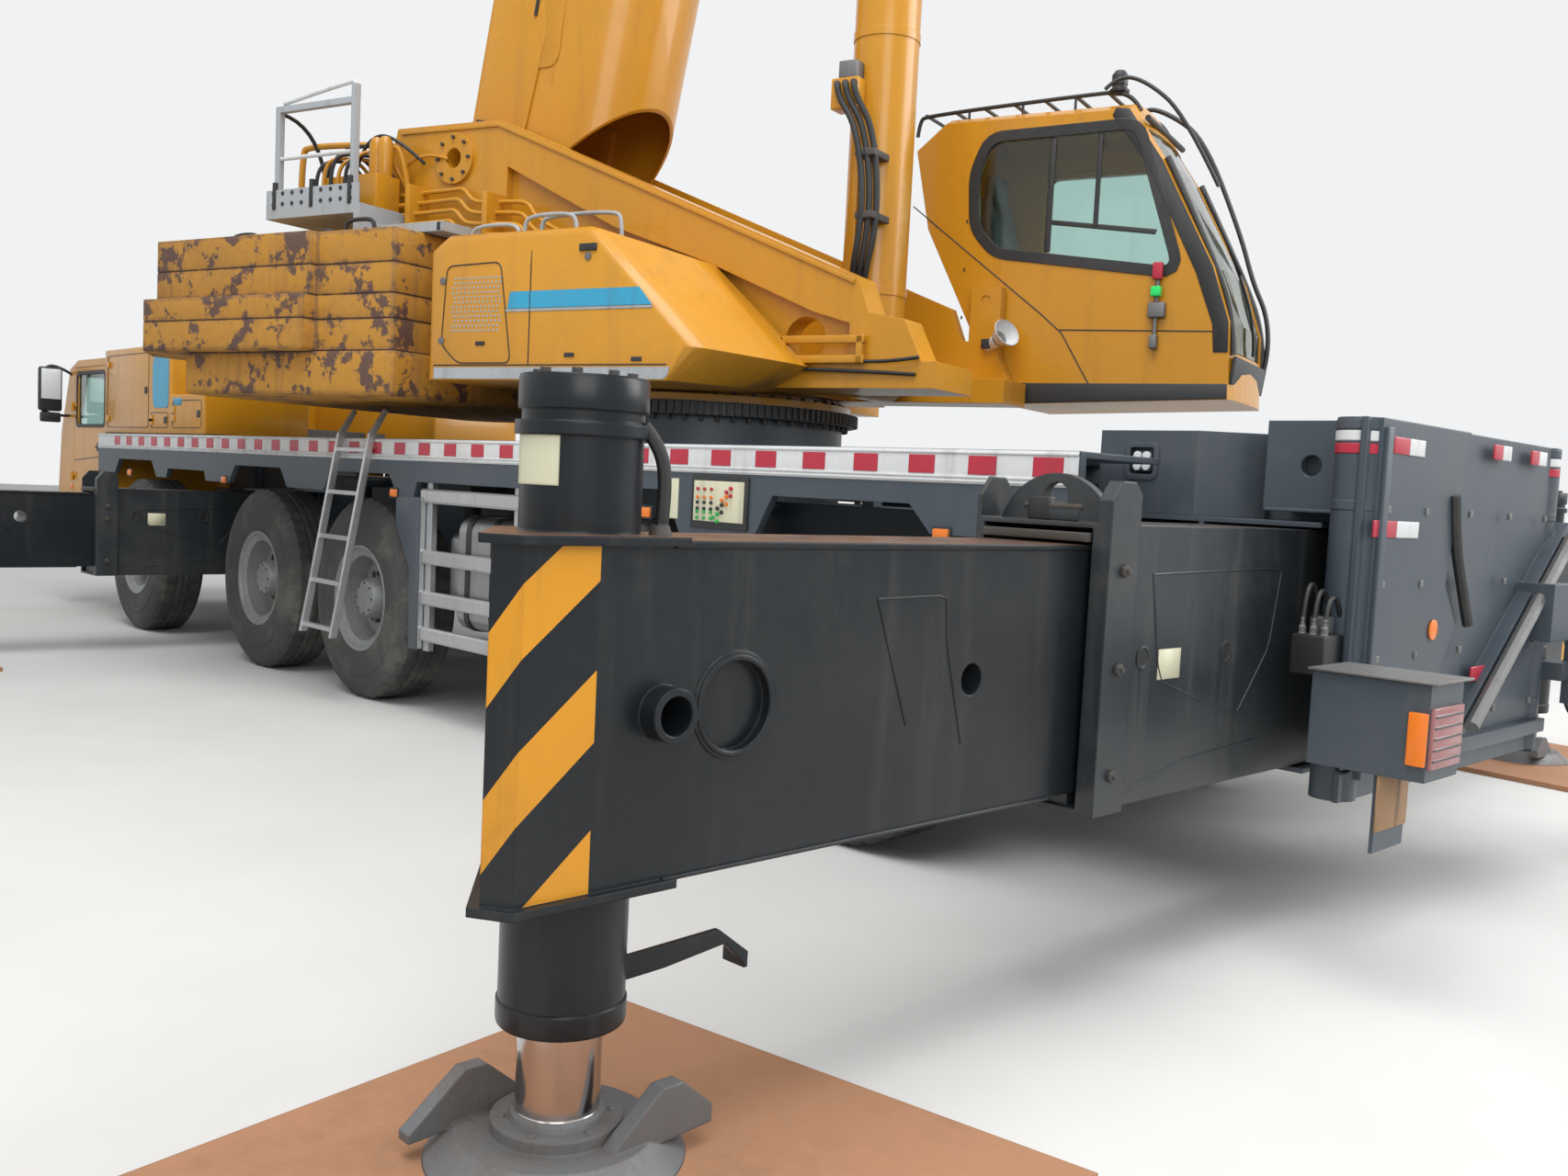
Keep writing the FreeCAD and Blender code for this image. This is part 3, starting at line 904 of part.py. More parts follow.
def op_pane(b):
    """The windscreen's section, just inside the cab's outline."""
    edge = [(2572 + 52 * b, 3790), (2703 + 45 * b, 3600), (3039 + 45 * b, 2970), (3149 + 40 * b, 2654),
            (3157 + 36 * b, 2490)]
    return edge + [(x - 10, z) for x, z in reversed(edge)]


side_pane = prism("OpSidePane", "xz", side_window, inner + 10, inner + 18)
front_pane = loft("OpFrontPane", [(inner + 60, op_pane(0.41))] + [
    (inner + (outer - inner) * t, op_pane(b)) for t, b in SWELL] + [(outer - 60, op_pane(0.41))])
upper("operator_cab_glass", group("OperatorCabGlass", [side_pane, front_pane]))
leaf = prism("OpDoorLeaf", "xz", [(1620, 2700), (1620, 3820), (2500, 3820), (2860, 3000), (2860, 2700)],
             outer + D.pin_play, outer + 30)
hole = prism("OpDoorHole", "xz", [(1720, 3000), (1720, 3740), (2440, 3740), (2740, 3000)], outer - 5, outer + 40)
upper("operator_door", cut("OperatorDoor", leaf, [hole]))


def section(name, half, back, low, start, end, wall):
    """A boom section: flat-topped, round below, open along its middle. low is its underside."""
    pieces = []
    for tag, k in (("Skin", 0), ("Hollow", 1)):
        inset = wall * k
        radius = half - inset
        first = start - k
        length = end - start + 2 * k
        box = block(name + tag + "Box", (first, first + length), (-radius, radius), (low + half, back - inset))
        round_under = rod(name + tag + "Round", radius, "x", (first, 0, low + half), length)
        pieces.append(fuse(name + tag, [box, round_under]))
    return cut(name + "Shell", pieces[0], [pieces[1]])


# Boom: a base section with its foot cut at a slant, and three telescoping sections with collars at their heads.
base = section("BoomBase", D.boom_half, D.boom_back, D.boom_back - D.boom_depth, -300, D.boom_length, D.boom_wall)
wedge = prism("FootWedge", "xz", [(-320, -1100), (-320, -250), (650, -1040), (650, -1100)],
              -D.boom_half - 5, D.boom_half + 5)
foot_hole = rod("FootHole", D.foot_pin + D.pin_play, "y", (0, -D.boom_half - 10, 0), D.boom_half * 2 + 20)
plates = [block("FootPlate_" + side_name(side), (-280, 500), span(side, D.boom_half - 60, D.boom_half),
                (-260, D.boom_back)) for side in (1, -1)]
lugs = [prism("RamEyeLug_" + side_name(side), "xz", [
    (D.ram_lug_along - 260, -960), (D.ram_lug_along - 130, -D.ram_lug_below - 150),
    (D.ram_lug_along + 130, -D.ram_lug_below - 150), (D.ram_lug_along + 260, -960)],
    *span(side, 130, 200)) for side in (1, -1)]
collar = section("BaseCollar", D.boom_half + 25, D.boom_back + 25, D.boom_back - D.boom_depth - 25,
                 D.boom_length - 160, D.boom_length, 25 + D.section_step / 2 - D.pin_play)
base_open = cut("BoomBaseCut", base, [wedge])
eye_hole = rod("RamEyeHole", D.ram_pin, "y", (D.ram_lug_along, -210, -D.ram_lug_below), 420)
whole = fuse("BoomBaseAll", [base_open, collar] + plates + lugs)
on_boom("boom_base", cut("BoomBase", whole, [eye_hole, foot_hole]))

for k in (1, 2, 3):
    half = D.boom_half - D.section_step / 2 * k
    back = D.boom_back - D.section_step / 2 * k
    low = D.boom_back - D.boom_depth + D.section_step / 2 * k
    end = D.boom_length + 300 * k
    tube = section("Section%d" % (k + 1), half, back, low, D.section_inner, end, D.section_wall)
    collar = section("SectionCollar%d" % (k + 1), half + 20, back + 20, low - 20, end - 140, end,
                     20 + D.section_step / 2 - D.pin_play)
    pieces = [tube, collar]
    if k == 3:
        head = [block("HeadCheek_" + side_name(side), (end - 60, end + 620), span(side, 250, 290),
                      (low + 60, back - 40)) for side in (1, -1)]
        bar = block("HeadPlate", (end - 30, end), (-290, 290), (low + 100, back - 20))
        sheaves = [rod("HeadSheave%d" % j, 230, "y", (x, -200, z), 400)
                   for j, (x, z) in enumerate(((end + 330, back - 330), (end + 330, low + 330)))]
        shafts = [rod("SheaveShaft%d" % j, 45, "y", (end + 330, -255, z), 510)
                  for j, z in enumerate((back - 330, low + 330))]
        pieces += head + [bar] + sheaves + shafts
    whole = fuse("Section%dAll" % (k + 1), pieces)
    if k == 3:
        jib_hole = rod("JibHole", D.jib_bore, "y", (end + 540, -300, back - 130), 600)
        whole = cut("Section%dBored" % (k + 1), whole, [jib_hole])
    on_boom("boom_section_%d" % (k + 1), whole)

# Luffing ram: its eye on the boom is where the linkage is opened
angle = math.radians(amount(D.boom_angle))
eye_x = amount(D.foot_x) + amount(D.ram_lug_along) * math.cos(angle) + amount(D.ram_lug_below) * math.sin(angle)
eye_z = amount(D.foot_z) + amount(D.ram_lug_along) * math.sin(angle) - amount(D.ram_lug_below) * math.cos(angle)
rise = math.degrees(math.atan2(eye_z - amount(D.ram_z), eye_x - amount(D.ram_x)))
reach = math.hypot(eye_z - amount(D.ram_z), eye_x - amount(D.ram_x))
RAM = FreeCAD.Placement(FreeCAD.Vector(amount(D.ram_x), 0, amount(D.ram_z)),
                        FreeCAD.Rotation(FreeCAD.Vector(0, 1, 0), -rise))


def on_ram(name, thing):
    doc.recompute()
    thing.Placement = SLEW * RAM
    return node(name, thing)


tube = fuse("RamTubeAll", [
    rod("RamTube", D.ram_tube, "x", (0, 0, 0), D.ram_tube_length),
    rod("RamEye", D.ram_eye, "y", (0, -D.ram_eye_half, 0), D.ram_eye_half * 2),
    rod("RamGland", D.ram_tube + 20, "x", (D.ram_tube_length - 180, 0, 0), 150),
    rod("RamPin", D.ram_pin, "y", (0, -350, 0), 700)])
bores = [rod("RamBore", D.ram_bore, "x", (210, 0, 0), D.ram_tube_length - 400),
         rod("RamGlandBore", D.ram_rod + D.pin_play, "x", (D.ram_tube_length - 250, 0, 0), 300)]
on_ram("luff_barrel", cut("LuffBarrel", tube, bores))
on_ram("luff_rod", fuse("LuffRod", [
    rod("RamRod", D.ram_rod, "x", (reach - amount(D.ram_rod_length), 0, 0), D.ram_rod_length),
    rod("RodEye", 150, "y", (reach, -115, 0), 230)]))

doc.recompute()
for thing in doc.Objects:
    if "Invalid" in thing.State or "Error" in thing.State:
        raise RuntimeError("%s failed: %s" % (thing.Name, thing.State))
for name, thing in NODES.items():
    if thing.Shape.isNull() or not thing.Shape.isValid() or not thing.Shape.Solids:
        raise RuntimeError("%s has no valid shape" % name)
os.makedirs("parts", exist_ok=True)
for name, thing in NODES.items():
    thing.Shape.exportStep("parts/%s.step" % name)
box = FreeCAD.BoundBox()
for thing in NODES.values():
    box.add(thing.Shape.BoundBox)
print("pieces", len(NODES), "box", box)
print("ram eye", round(eye_x, 1), round(eye_z, 1), "rise", round(rise, 3), "reach", round(reach, 1))
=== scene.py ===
import math
import bmesh
import bpy
from mathutils import Matrix, Vector


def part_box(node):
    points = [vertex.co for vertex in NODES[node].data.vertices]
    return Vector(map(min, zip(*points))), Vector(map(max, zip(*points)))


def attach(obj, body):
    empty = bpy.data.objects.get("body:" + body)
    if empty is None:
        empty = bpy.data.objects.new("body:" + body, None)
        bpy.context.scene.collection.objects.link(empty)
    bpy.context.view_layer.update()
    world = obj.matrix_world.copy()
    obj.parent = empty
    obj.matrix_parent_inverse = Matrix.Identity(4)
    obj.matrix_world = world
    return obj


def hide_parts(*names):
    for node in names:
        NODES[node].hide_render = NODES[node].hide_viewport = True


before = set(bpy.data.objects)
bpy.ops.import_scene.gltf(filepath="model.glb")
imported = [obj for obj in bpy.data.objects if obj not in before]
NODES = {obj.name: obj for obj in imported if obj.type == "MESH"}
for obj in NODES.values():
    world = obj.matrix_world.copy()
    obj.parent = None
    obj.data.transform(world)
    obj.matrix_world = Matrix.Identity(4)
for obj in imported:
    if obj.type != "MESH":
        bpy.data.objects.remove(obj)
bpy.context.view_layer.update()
COLLECTION = bpy.context.scene.collection

# Photographer's place: about 2.6 m behind the tail and 1.58 m above the ground, rolled a little to the right. The
# hall is one pale world that the camera, metal and glass all see, with soft lamps above and beside the crane.
PHOTO_WIDTH = 1706
FOCAL_PIXELS = 1471.9
CAMERA_PLACE = Vector((-8.405, 5.804, 1.58))
CAMERA_YAW, CAMERA_PITCH, CAMERA_ROLL = (math.radians(a) for a in (-44.226, -4.238, 2.876))
ahead = Vector((math.cos(CAMERA_YAW) * math.cos(CAMERA_PITCH),
                math.sin(CAMERA_YAW) * math.cos(CAMERA_PITCH), math.sin(CAMERA_PITCH)))
level_right = ahead.cross(Vector((0, 0, 1))).normalized()
level_up = level_right.cross(ahead)
right = level_right * math.cos(CAMERA_ROLL) + level_up * math.sin(CAMERA_ROLL)
up = level_up * math.cos(CAMERA_ROLL) - level_right * math.sin(CAMERA_ROLL)
camera_data = bpy.data.cameras.new("Camera")
camera_data.sensor_fit = "HORIZONTAL"
camera_data.sensor_width = 36
camera_data.lens = 36 * FOCAL_PIXELS / PHOTO_WIDTH
camera_data.clip_end = 200
camera = bpy.data.objects.new("Camera", camera_data)
turn = Matrix((right, up, -ahead)).transposed()
camera.matrix_world = Matrix.Translation(CAMERA_PLACE) @ turn.to_4x4()
COLLECTION.objects.link(camera)
bpy.context.scene.camera = camera
bpy.context.scene.view_settings.view_transform = "Standard"

world = bpy.data.worlds.new("Hall")
bpy.context.scene.world = world
world.use_nodes = True
hall, hall_links = world.node_tree.nodes, world.node_tree.links
hall.clear()
rays = hall.new("ShaderNodeLightPath")
sky = hall.new("ShaderNodeBackground")
sky.inputs["Color"].default_value = (0.86, 0.9, 0.95, 1)
sky.inputs["Strength"].default_value = 0.62
backdrop = hall.new("ShaderNodeBackground")
backdrop.inputs["Color"].default_value = (0.88, 0.89, 0.9, 1)
backdrop.inputs["Strength"].default_value = 1.0
seen = hall.new("ShaderNodeMixShader")
hall_out = hall.new("ShaderNodeOutputWorld")
looked_at = rays.outputs["Is Camera Ray"]
for ray in ("Is Glossy Ray", "Is Transmission Ray"):
    either = hall.new("ShaderNodeMath")
    either.operation = "MAXIMUM"
    hall_links.new(looked_at, either.inputs[0])
    hall_links.new(rays.outputs[ray], either.inputs[1])
    looked_at = either.outputs[0]
hall_links.new(looked_at, seen.inputs["Fac"])
hall_links.new(sky.outputs["Background"], seen.inputs[1])
hall_links.new(backdrop.outputs["Background"], seen.inputs[2])
hall_links.new(seen.outputs["Shader"], hall_out.inputs["Surface"])

# Lamps: name, place, aim, size, power
LAMPS = (
    ("RoofLamp", (-6, 6, 17), (-1, 0, 2), 12, 2600),
    ("SideLamp", (-12, -10, 9), (-2, -1, 3), 9, 1500),
    ("FillLamp", (-13, 9, 6), (-5, 3, 1), 6, 420),
)
for name, place, aim, size, power in LAMPS:
    lamp_data = bpy.data.lights.new(name, "AREA")
    lamp_data.size = size
    lamp_data.energy = power
    lamp = bpy.data.objects.new(name, lamp_data)
    lamp.location = place
    lamp.rotation_euler = (Vector(aim) - Vector(place)).to_track_quat("-Z", "Y").to_euler()
    COLLECTION.objects.link(lamp)


# Chassis, axles and mats: welded plate in slate paint, cast axles, and the four steel plates on the ground. Their
# finish is the crane's own wear: broad shade, dirt, streaks, chips along edges and softened edges.
class Wiring:
    """Short ways to add and link the nodes of one shader tree."""

    def __init__(self, tree):
        self.tree, self.nodes, self.links = tree, tree.nodes, tree.links

    def add(self, kind, **inputs):
        node = self.nodes.new("ShaderNode" + kind)
        for name, value in inputs.items():
            self.put(node.inputs[name.replace("_", " ")], value)
        return node

    def put(self, socket, value):
        if isinstance(value, bpy.types.NodeSocket):
            self.links.new(value, socket)
        elif isinstance(value, tuple) and socket.type == "RGBA":
            socket.default_value = value[:3] + (1,)
        else:
            socket.default_value = value

    def maths(self, kind, a, b=0.0, clamp=False):
        node = self.nodes.new("ShaderNodeMath")
        node.operation = kind
        node.use_clamp = clamp
        self.put(node.inputs[0], a)
        self.put(node.inputs[1], b)
        return node.outputs[0]

    def noise(self, vector, scale, detail=4.0, rough=0.6, stretch=None):
        if stretch:
            vector = self.add("Mapping", Vector=vector, Scale=stretch).outputs["Vector"]
        return self.add("TexNoise", Vector=vector, Scale=scale, Detail=detail, Roughness=rough).outputs["Fac"]

    def ramp(self, value, low, high):
        node = self.nodes.new("ShaderNodeMapRange")
        node.interpolation_type = "SMOOTHSTEP"
        self.put(node.inputs["From Min"], low)
        self.put(node.inputs["From Max"], high)
        self.put(node.inputs["Value"], value)
        return node.outputs["Result"]

    def mix(self, factor, a, b):
        node = self.nodes.new("ShaderNodeMix")
        node.data_type = "RGBA"
        for value, k in ((factor, 0), (a, 6), (b, 7)):
            self.put(node.inputs[k], value)
        return node.outputs[2]

    def step(self, value, low, high):
        """1 between low and high, 0 outside."""
        above = self.maths("GREATER_THAN", value, low)
        return self.maths("MULTIPLY", above, self.maths("LESS_THAN", value, high))


def shader_group(name, inputs, outputs):
    tree = bpy.data.node_groups.new(name, "ShaderNodeTree")
    for socket, value in inputs:
        tree.interface.new_socket(name=socket, in_out="INPUT", socket_type="NodeSocketFloat").default_value = value
    for socket, kind in outputs:
        tree.interface.new_socket(name=socket, in_out="OUTPUT", socket_type="NodeSocket" + kind)
    return tree, Wiring(tree), tree.nodes.new("NodeGroupInput"), tree.nodes.new("NodeGroupOutput")


WEAR, w, given, put = shader_group(
    "Wear", (("Scale", 1.0), ("Dirt", 0.5), ("Streaks", 0.5), ("Chips", 0.3), ("Edge Width", 0.01), ("Peel", 0.1)),
    (("Dirt", "Float"), ("Chips", "Float"), ("Shade", "Float"), ("Height", "Float"), ("Soft Normal", "Vector")))
place = w.add("TexCoord").outputs["Object"]
scale = given.outputs["Scale"]
broad = w.noise(place, w.maths("MULTIPLY", scale, 1.3), 5.0, 0.6)
fine = w.noise(place, w.maths("MULTIPLY", scale, 22.0), 6.0, 0.65)
streak = w.noise(place, w.maths("MULTIPLY", scale, 9.0), 4.0, 0.6, (1.0, 1.0, 0.07))
patch = w.ramp(w.maths("ADD", w.maths("MULTIPLY", broad, 0.75), w.maths("MULTIPLY", fine, 0.25)), 0.46, 0.68)
dirt = w.maths("ADD", w.maths("MULTIPLY", patch, given.outputs["Dirt"]),
               w.maths("MULTIPLY", w.ramp(streak, 0.52, 0.72), given.outputs["Streaks"]), True)
soft = w.add("Bevel", Radius=given.outputs["Edge Width"])
soft.samples = 4
bent = w.add("VectorMath")
bent.operation = "DOT_PRODUCT"
w.put(bent.inputs[0], soft.outputs["Normal"])
w.put(bent.inputs[1], w.add("NewGeometry").outputs["Normal"])
edge = w.ramp(w.maths("SUBTRACT", 1.0, bent.outputs["Value"]), 0.01, 0.2)
chip_noise = w.maths("ADD", w.noise(place, w.maths("MULTIPLY", scale, 7.0), 8.0, 0.7),
                     w.maths("MULTIPLY", edge, 0.16))
chips = w.maths("MULTIPLY", w.maths("SUBTRACT", chip_noise,
                                    w.maths("SUBTRACT", 0.86, w.maths("MULTIPLY", given.outputs["Chips"], 0.36))),
                40.0, True)
for name, value in (("Dirt", dirt), ("Chips", chips), ("Shade", w.ramp(broad, 0.3, 0.7)),
                    ("Soft Normal", soft.outputs["Normal"]),
                    ("Height", w.maths("SUBTRACT", w.maths("MULTIPLY", fine, given.outputs["Peel"]),
                                       w.maths("MULTIPLY", chips, 0.25)))):
    w.put(put.inputs[name], value)


def worn(name, colour, rough=0.4, metal=0.0, dirt_colour=(0.1, 0.075, 0.05), chip_colour=(0.1, 0.05, 0.03),
         scale=1.0, dirt=0.4, streaks=0.3, chips=0.2, edge=0.008, peel=0.1, bump=0.002, coat=0.0, shade=0.86,
         shine=0.5, marks=None):
    """A worn paint or metal. marks(wiring, colour) may give the colour a pattern before the wear goes on it."""
    material = bpy.data.materials.new(name)
    material.use_nodes = True
    m = Wiring(material.node_tree)
    surface = m.nodes["Principled BSDF"]
    wear = m.nodes.new("ShaderNodeGroup")
    wear.node_tree = WEAR
    for key, value in (("Scale", scale), ("Dirt", dirt), ("Streaks", streaks), ("Chips", chips),
                       ("Edge Width", edge), ("Peel", peel)):
        m.put(wear.inputs[key], value)
    base = m.mix(wear.outputs["Shade"], tuple(c * shade for c in colour), colour)
    if marks:
        base = marks(m, base)
    base = m.mix(wear.outputs["Dirt"], base, dirt_colour)
    m.put(surface.inputs["Base Color"], m.mix(wear.outputs["Chips"], base, chip_colour))
    m.put(surface.inputs["Roughness"],
          m.add("MapRange", Value=wear.outputs["Dirt"], To_Min=rough, To_Max=min(1.0, rough + 0.3)).outputs["Result"])
    m.put(surface.inputs["Metallic"], metal)
    m.put(surface.inputs["Coat Weight"], coat)
    m.put(surface.inputs["Specular IOR Level"], shine)
    relief = m.add("Bump", Strength=0.6, Distance=bump, Height=wear.outputs["Height"],
                   Normal=wear.outputs["Soft Normal"])
    m.put(surface.inputs["Normal"], relief.outputs["Normal"])
    return material


def dress(material, *names):
    """Gives CAD nodes their finish."""
    for name in names:
        NODES[name].data.materials.clear()
        NODES[name].data.materials.append(material)


SLATE = worn("SlatePaint", (0.052, 0.07, 0.088), rough=0.42, dirt=0.25, streaks=0.2, chips=0.08,
             dirt_colour=(0.12, 0.11, 0.1))
CAST = worn("CastSteel", (0.08, 0.075, 0.07), rough=0.6, metal=0.4, dirt=0.5, streaks=0.2, chips=0.1)
MAT_STEEL = worn("RustyPlate", (0.4, 0.2, 0.105), rough=0.75, dirt=0.7, streaks=0.0, chips=0.3, scale=0.8,
                 dirt_colour=(0.25, 0.13, 0.07), chip_colour=(0.45, 0.34, 0.27))
BLACK = worn("BlackTrim", (0.016, 0.017, 0.018), rough=0.45, dirt=0.3, streaks=0.1, chips=0.0,
             dirt_colour=(0.07, 0.065, 0.06))
dress(SLATE, "chassis_frame", "carrier_deck", "deck_brackets", "outrigger_boxes")
dress(CAST, "axle_beams", "carrier_engine")
dress(MAT_STEEL, "outrigger_mats")


# Quarter turns, for shapes that are made upright and lie along or across the crane
TO_LEFT, TO_RIGHT = (Matrix.Rotation(math.radians(a), 4, "X") for a in (-90, 90))
TO_REAR, TO_FRONT = (Matrix.Rotation(math.radians(a), 4, "Y") for a in (-90, 90))


def moved(x, y, z, turn=Matrix()):
    """The place x, y, z for a shape that stands upright or is turned to one side."""
    return Matrix.Translation((x, y, z)) @ turn


class Bench:
    """One piece in the making: its shapes are laid down in turn, each in one of the piece's paints."""

    def __init__(self, name, *paints):
        self.name, self.paints, self.work = name, paints, bmesh.new()

    def lay(self, part, paint=0, at=None):
        """Takes a finished shape, a bmesh or a mesh, onto the piece."""
        data = part
        if isinstance(part, bmesh.types.BMesh):
            data = bpy.data.meshes.new("part")
            part.to_mesh(data)
            part.free()
        if at is not None:
            data.transform(at)
        data.polygons.foreach_set("material_index", [paint] * len(data.polygons))
        self.work.from_mesh(data)
        bpy.data.meshes.remove(data)

    def plate(self, outline, thick, paint=0, edge=0.0, at=None):
        """A flat plate: its outline, its thickness as a vector, and the width of its broken edges."""
        part = bmesh.new()
        low = [part.verts.new(p) for p in outline]
        high = [part.verts.new(Vector(p) + Vector(thick)) for p in outline]
        part.faces.new(low)
        part.faces.new(high)
        for k in range(len(low)):
            part.faces.new((low[k - 1], low[k], high[k], high[k - 1]))
        bmesh.ops.recalc_face_normals(part, faces=part.faces[:])
        if edge:
            bmesh.ops.bevel(part, geom=part.edges[:], offset=edge, segments=2, profile=0.6, affect="EDGES",
                            clamp_overlap=True)
        self.lay(part, paint, at)

    def bar(self, low, high, paint=0, edge=0.004, at=None):
        (x0, y0, z0), (x1, y1, z1) = low, high
        self.plate([(x0, y0, z0), (x1, y0, z0), (x1, y1, z0), (x0, y1, z0)], (0, 0, z1 - z0), paint, edge, at)

    def ring(self, outline, grow, thick, paint=0, at=None):
        """A frame round a rounded outline in the XZ plane: grow is its width, thick its depth along Y."""
        part = bmesh.new()
        outer = grown_outline(outline, grow)
        loops = [[part.verts.new(p) for p in loop] for loop in (
            outline, outer, [(x, y + thick, z) for x, y, z in outer], [(x, y + thick, z) for x, y, z in outline])]
        for j in range(4):
            for k in range(len(outline)):
                part.faces.new((loops[j - 1][k - 1], loops[j - 1][k], loops[j][k], loops[j][k - 1]))
        self.lay(part, paint, at)

    def pipe(self, points, radius, paint=0, order=3, at=None):
        """A bent pipe or bar of round section along its route."""
        data = bpy.data.curves.new("pipe", "CURVE")
        data.dimensions = "3D"
        data.bevel_depth = radius
        data.bevel_resolution = 2
        data.use_fill_caps = True
        data.resolution_u = 6
        run = data.splines.new("NURBS")
        run.points.add(len(points) - 1)
        for point, spot in zip(run.points, points):
            point.co = (*spot, 1)
        run.order_u = order
        run.use_endpoint_u = True
        route = bpy.data.objects.new("pipe", data)
        self.lay(bpy.data.meshes.new_from_object(route), paint, at)
        bpy.data.objects.remove(route)
        bpy.data.curves.remove(data)

    def turned(self, profile, paint=0, at=None, segments=32, dip=None):
        """Turned about Z from radius and height: from pole to pole, or a closed ring where no end is on the axis."""
        part = bmesh.new()
        rows = []
        for radius, height in profile:
            if radius < 1e-6:
                rows.append([part.verts.new((0, 0, height))] * segments)
                continue
            row = []
            for k in range(segments):
                r = dip(k, radius, height) if dip else radius
                angle = 2 * math.pi * k / segments
                row.append(part.verts.new((r * math.cos(angle), r * math.sin(angle), height)))
            rows.append(row)
        closed = profile[0][0] > 1e-6
        for j in range(0 if closed else 1, len(rows)):
            for k in range(segments):
                corners = (rows[j - 1][k - 1], rows[j - 1][k], rows[j][k], rows[j][k - 1])
                part.faces.new(list(dict.fromkeys(corners)))
        bmesh.ops.recalc_face_normals(part, faces=part.faces[:])
        self.lay(part, paint, at)

    def bolts(self, paint, at, count, ring, head, tall, sides=6):
        """A ring of bolt heads round the place at: its radius, then the radius and height of a head."""
        self.lay(grown(BOLT_RING, Count=count, Ring=ring, Head=head, Height=tall, Sides=sides), paint, at)

    def row(self, paint, at, count, step, size):
        """Equal bars, the first in the place at and each a step from the last."""
        self.lay(grown(BAR_ROW, Count=count, Step=step, Size=size), paint, at)

    def field(self, paint, at, across, down, wide, high, head, tall, sides):
        """Rows of equal heads or holes that fill a rectangle round the place at."""
        self.lay(grown(HEAD_FIELD, Across=across, Down=down, Wide=wide, High=high, Head=head, Height=tall,
                       Sides=sides), paint, at)

    def done(self, body, slot, at=None, stands_for=(), sharp=32):
        """Makes the piece, puts it in its place and on its body."""
        bmesh.ops.recalc_face_normals(self.work, faces=self.work.faces[:])
        mesh = bpy.data.meshes.new(self.name)
        self.work.to_mesh(mesh)
        self.work.free()
        if at is not None:
            mesh.transform(at)
        for paint in self.paints:
            mesh.materials.append(paint)
        mesh.polygons.foreach_set("use_smooth", [True] * len(mesh.polygons))
        mesh.set_sharp_from_angle(angle=math.radians(sharp))
        piece = bpy.data.objects.new(self.name, mesh)
        COLLECTION.objects.link(piece)
        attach(piece, body)
        if stands_for:
            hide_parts(*stands_for)
        return piece


def grown_outline(outline, grow):
    """An XZ outline moved outwards by grow, mitred at its corners."""
    area = sum(a[0] * b[2] - b[0] * a[2] for a, b in zip(outline, outline[1:] + outline[:1]))
    way = 1 if area > 0 else -1
    moved = []
    for k, (x, y, z) in enumerate(outline):
        (xa, _, za), (xb, _, zb) = outline[k - 1], outline[(k + 1) % len(outline)]
        first = Vector((z - za, xa - x)).normalized() * way
        second = Vector((zb - z, x - xb)).normalized() * way
        out = (first + second) * (grow / max(0.3, 1 + first.dot(second)))
        moved.append((x + out.x, y, z + out.y))
    return moved


def rounded(points, radius, y=0.0, steps=4):
    """An XZ outline with its corners rounded, at the depth y."""
    outline = []
    for k, spot in enumerate(points):
        spot = Vector(spot)
        before, after = Vector(points[k - 1]) - spot, Vector(points[(k + 1) % len(points)]) - spot
        reach = min(radius, before.length / 2.1, after.length / 2.1)
        start, end = spot + before.normalized() * reach, spot + after.normalized() * reach
        for j in range(steps + 1):
            t = j / steps
            at = start * (1 - t) ** 2 + spot * 2 * t * (1 - t) + end * t ** 2
            outline.append((at.x, y, at.y))
    return outline


def rounded_pairs(points, radius):
    """The same as pairs of numbers, for an outline in another plane."""
    return [(x, z) for x, _, z in rounded(points, radius)]


def geometry_tree(name, inputs):
    """A Geometry Nodes tree with named inputs, and ways to add nodes to it."""
    tree = bpy.data.node_groups.new(name, "GeometryNodeTree")
    tree.is_modifier = True
    tree.interface.new_socket(name="Geometry", in_out="INPUT", socket_type="NodeSocketGeometry")
    for socket, kind, value in inputs:
        made = tree.interface.new_socket(name=socket, in_out="INPUT", socket_type="NodeSocket" + kind)
        if value is not None:
            made.default_value = value
    tree.interface.new_socket(name="Geometry", in_out="OUTPUT", socket_type="NodeSocketGeometry")
    return tree, tree.nodes.new("NodeGroupInput").outputs


def grow_node(tree, kind, **inputs):
    node = tree.nodes.new("GeometryNode" + kind)
    for name, value in inputs.items():
        socket = node.inputs[name.replace("_", " ")]
        if isinstance(value, bpy.types.NodeSocket):
            tree.links.new(value, socket)
        else:
            socket.default_value = value
    return node


def end_tree(tree, geometry):
    whole = grow_node(tree, "RealizeInstances", Geometry=geometry)
    tree.links.new(whole.outputs[0], tree.nodes.new("NodeGroupOutput").inputs[0])
    return tree


tree, given = geometry_tree("BoltRing", (("Count", "Int", 8), ("Ring", "Float", 0.1), ("Head", "Float", 0.01),
                                         ("Height", "Float", 0.01), ("Sides", "Int", 6)))
spots = grow_node(tree, "MeshCircle", Vertices=given["Count"], Radius=given["Ring"])
head = grow_node(tree, "MeshCylinder", Vertices=given["Sides"], Radius=given["Head"], Depth=given["Height"])
bolts = grow_node(tree, "InstanceOnPoints", Points=spots.outputs["Mesh"], Instance=head.outputs["Mesh"])
BOLT_RING = end_tree(tree, bolts.outputs[0])

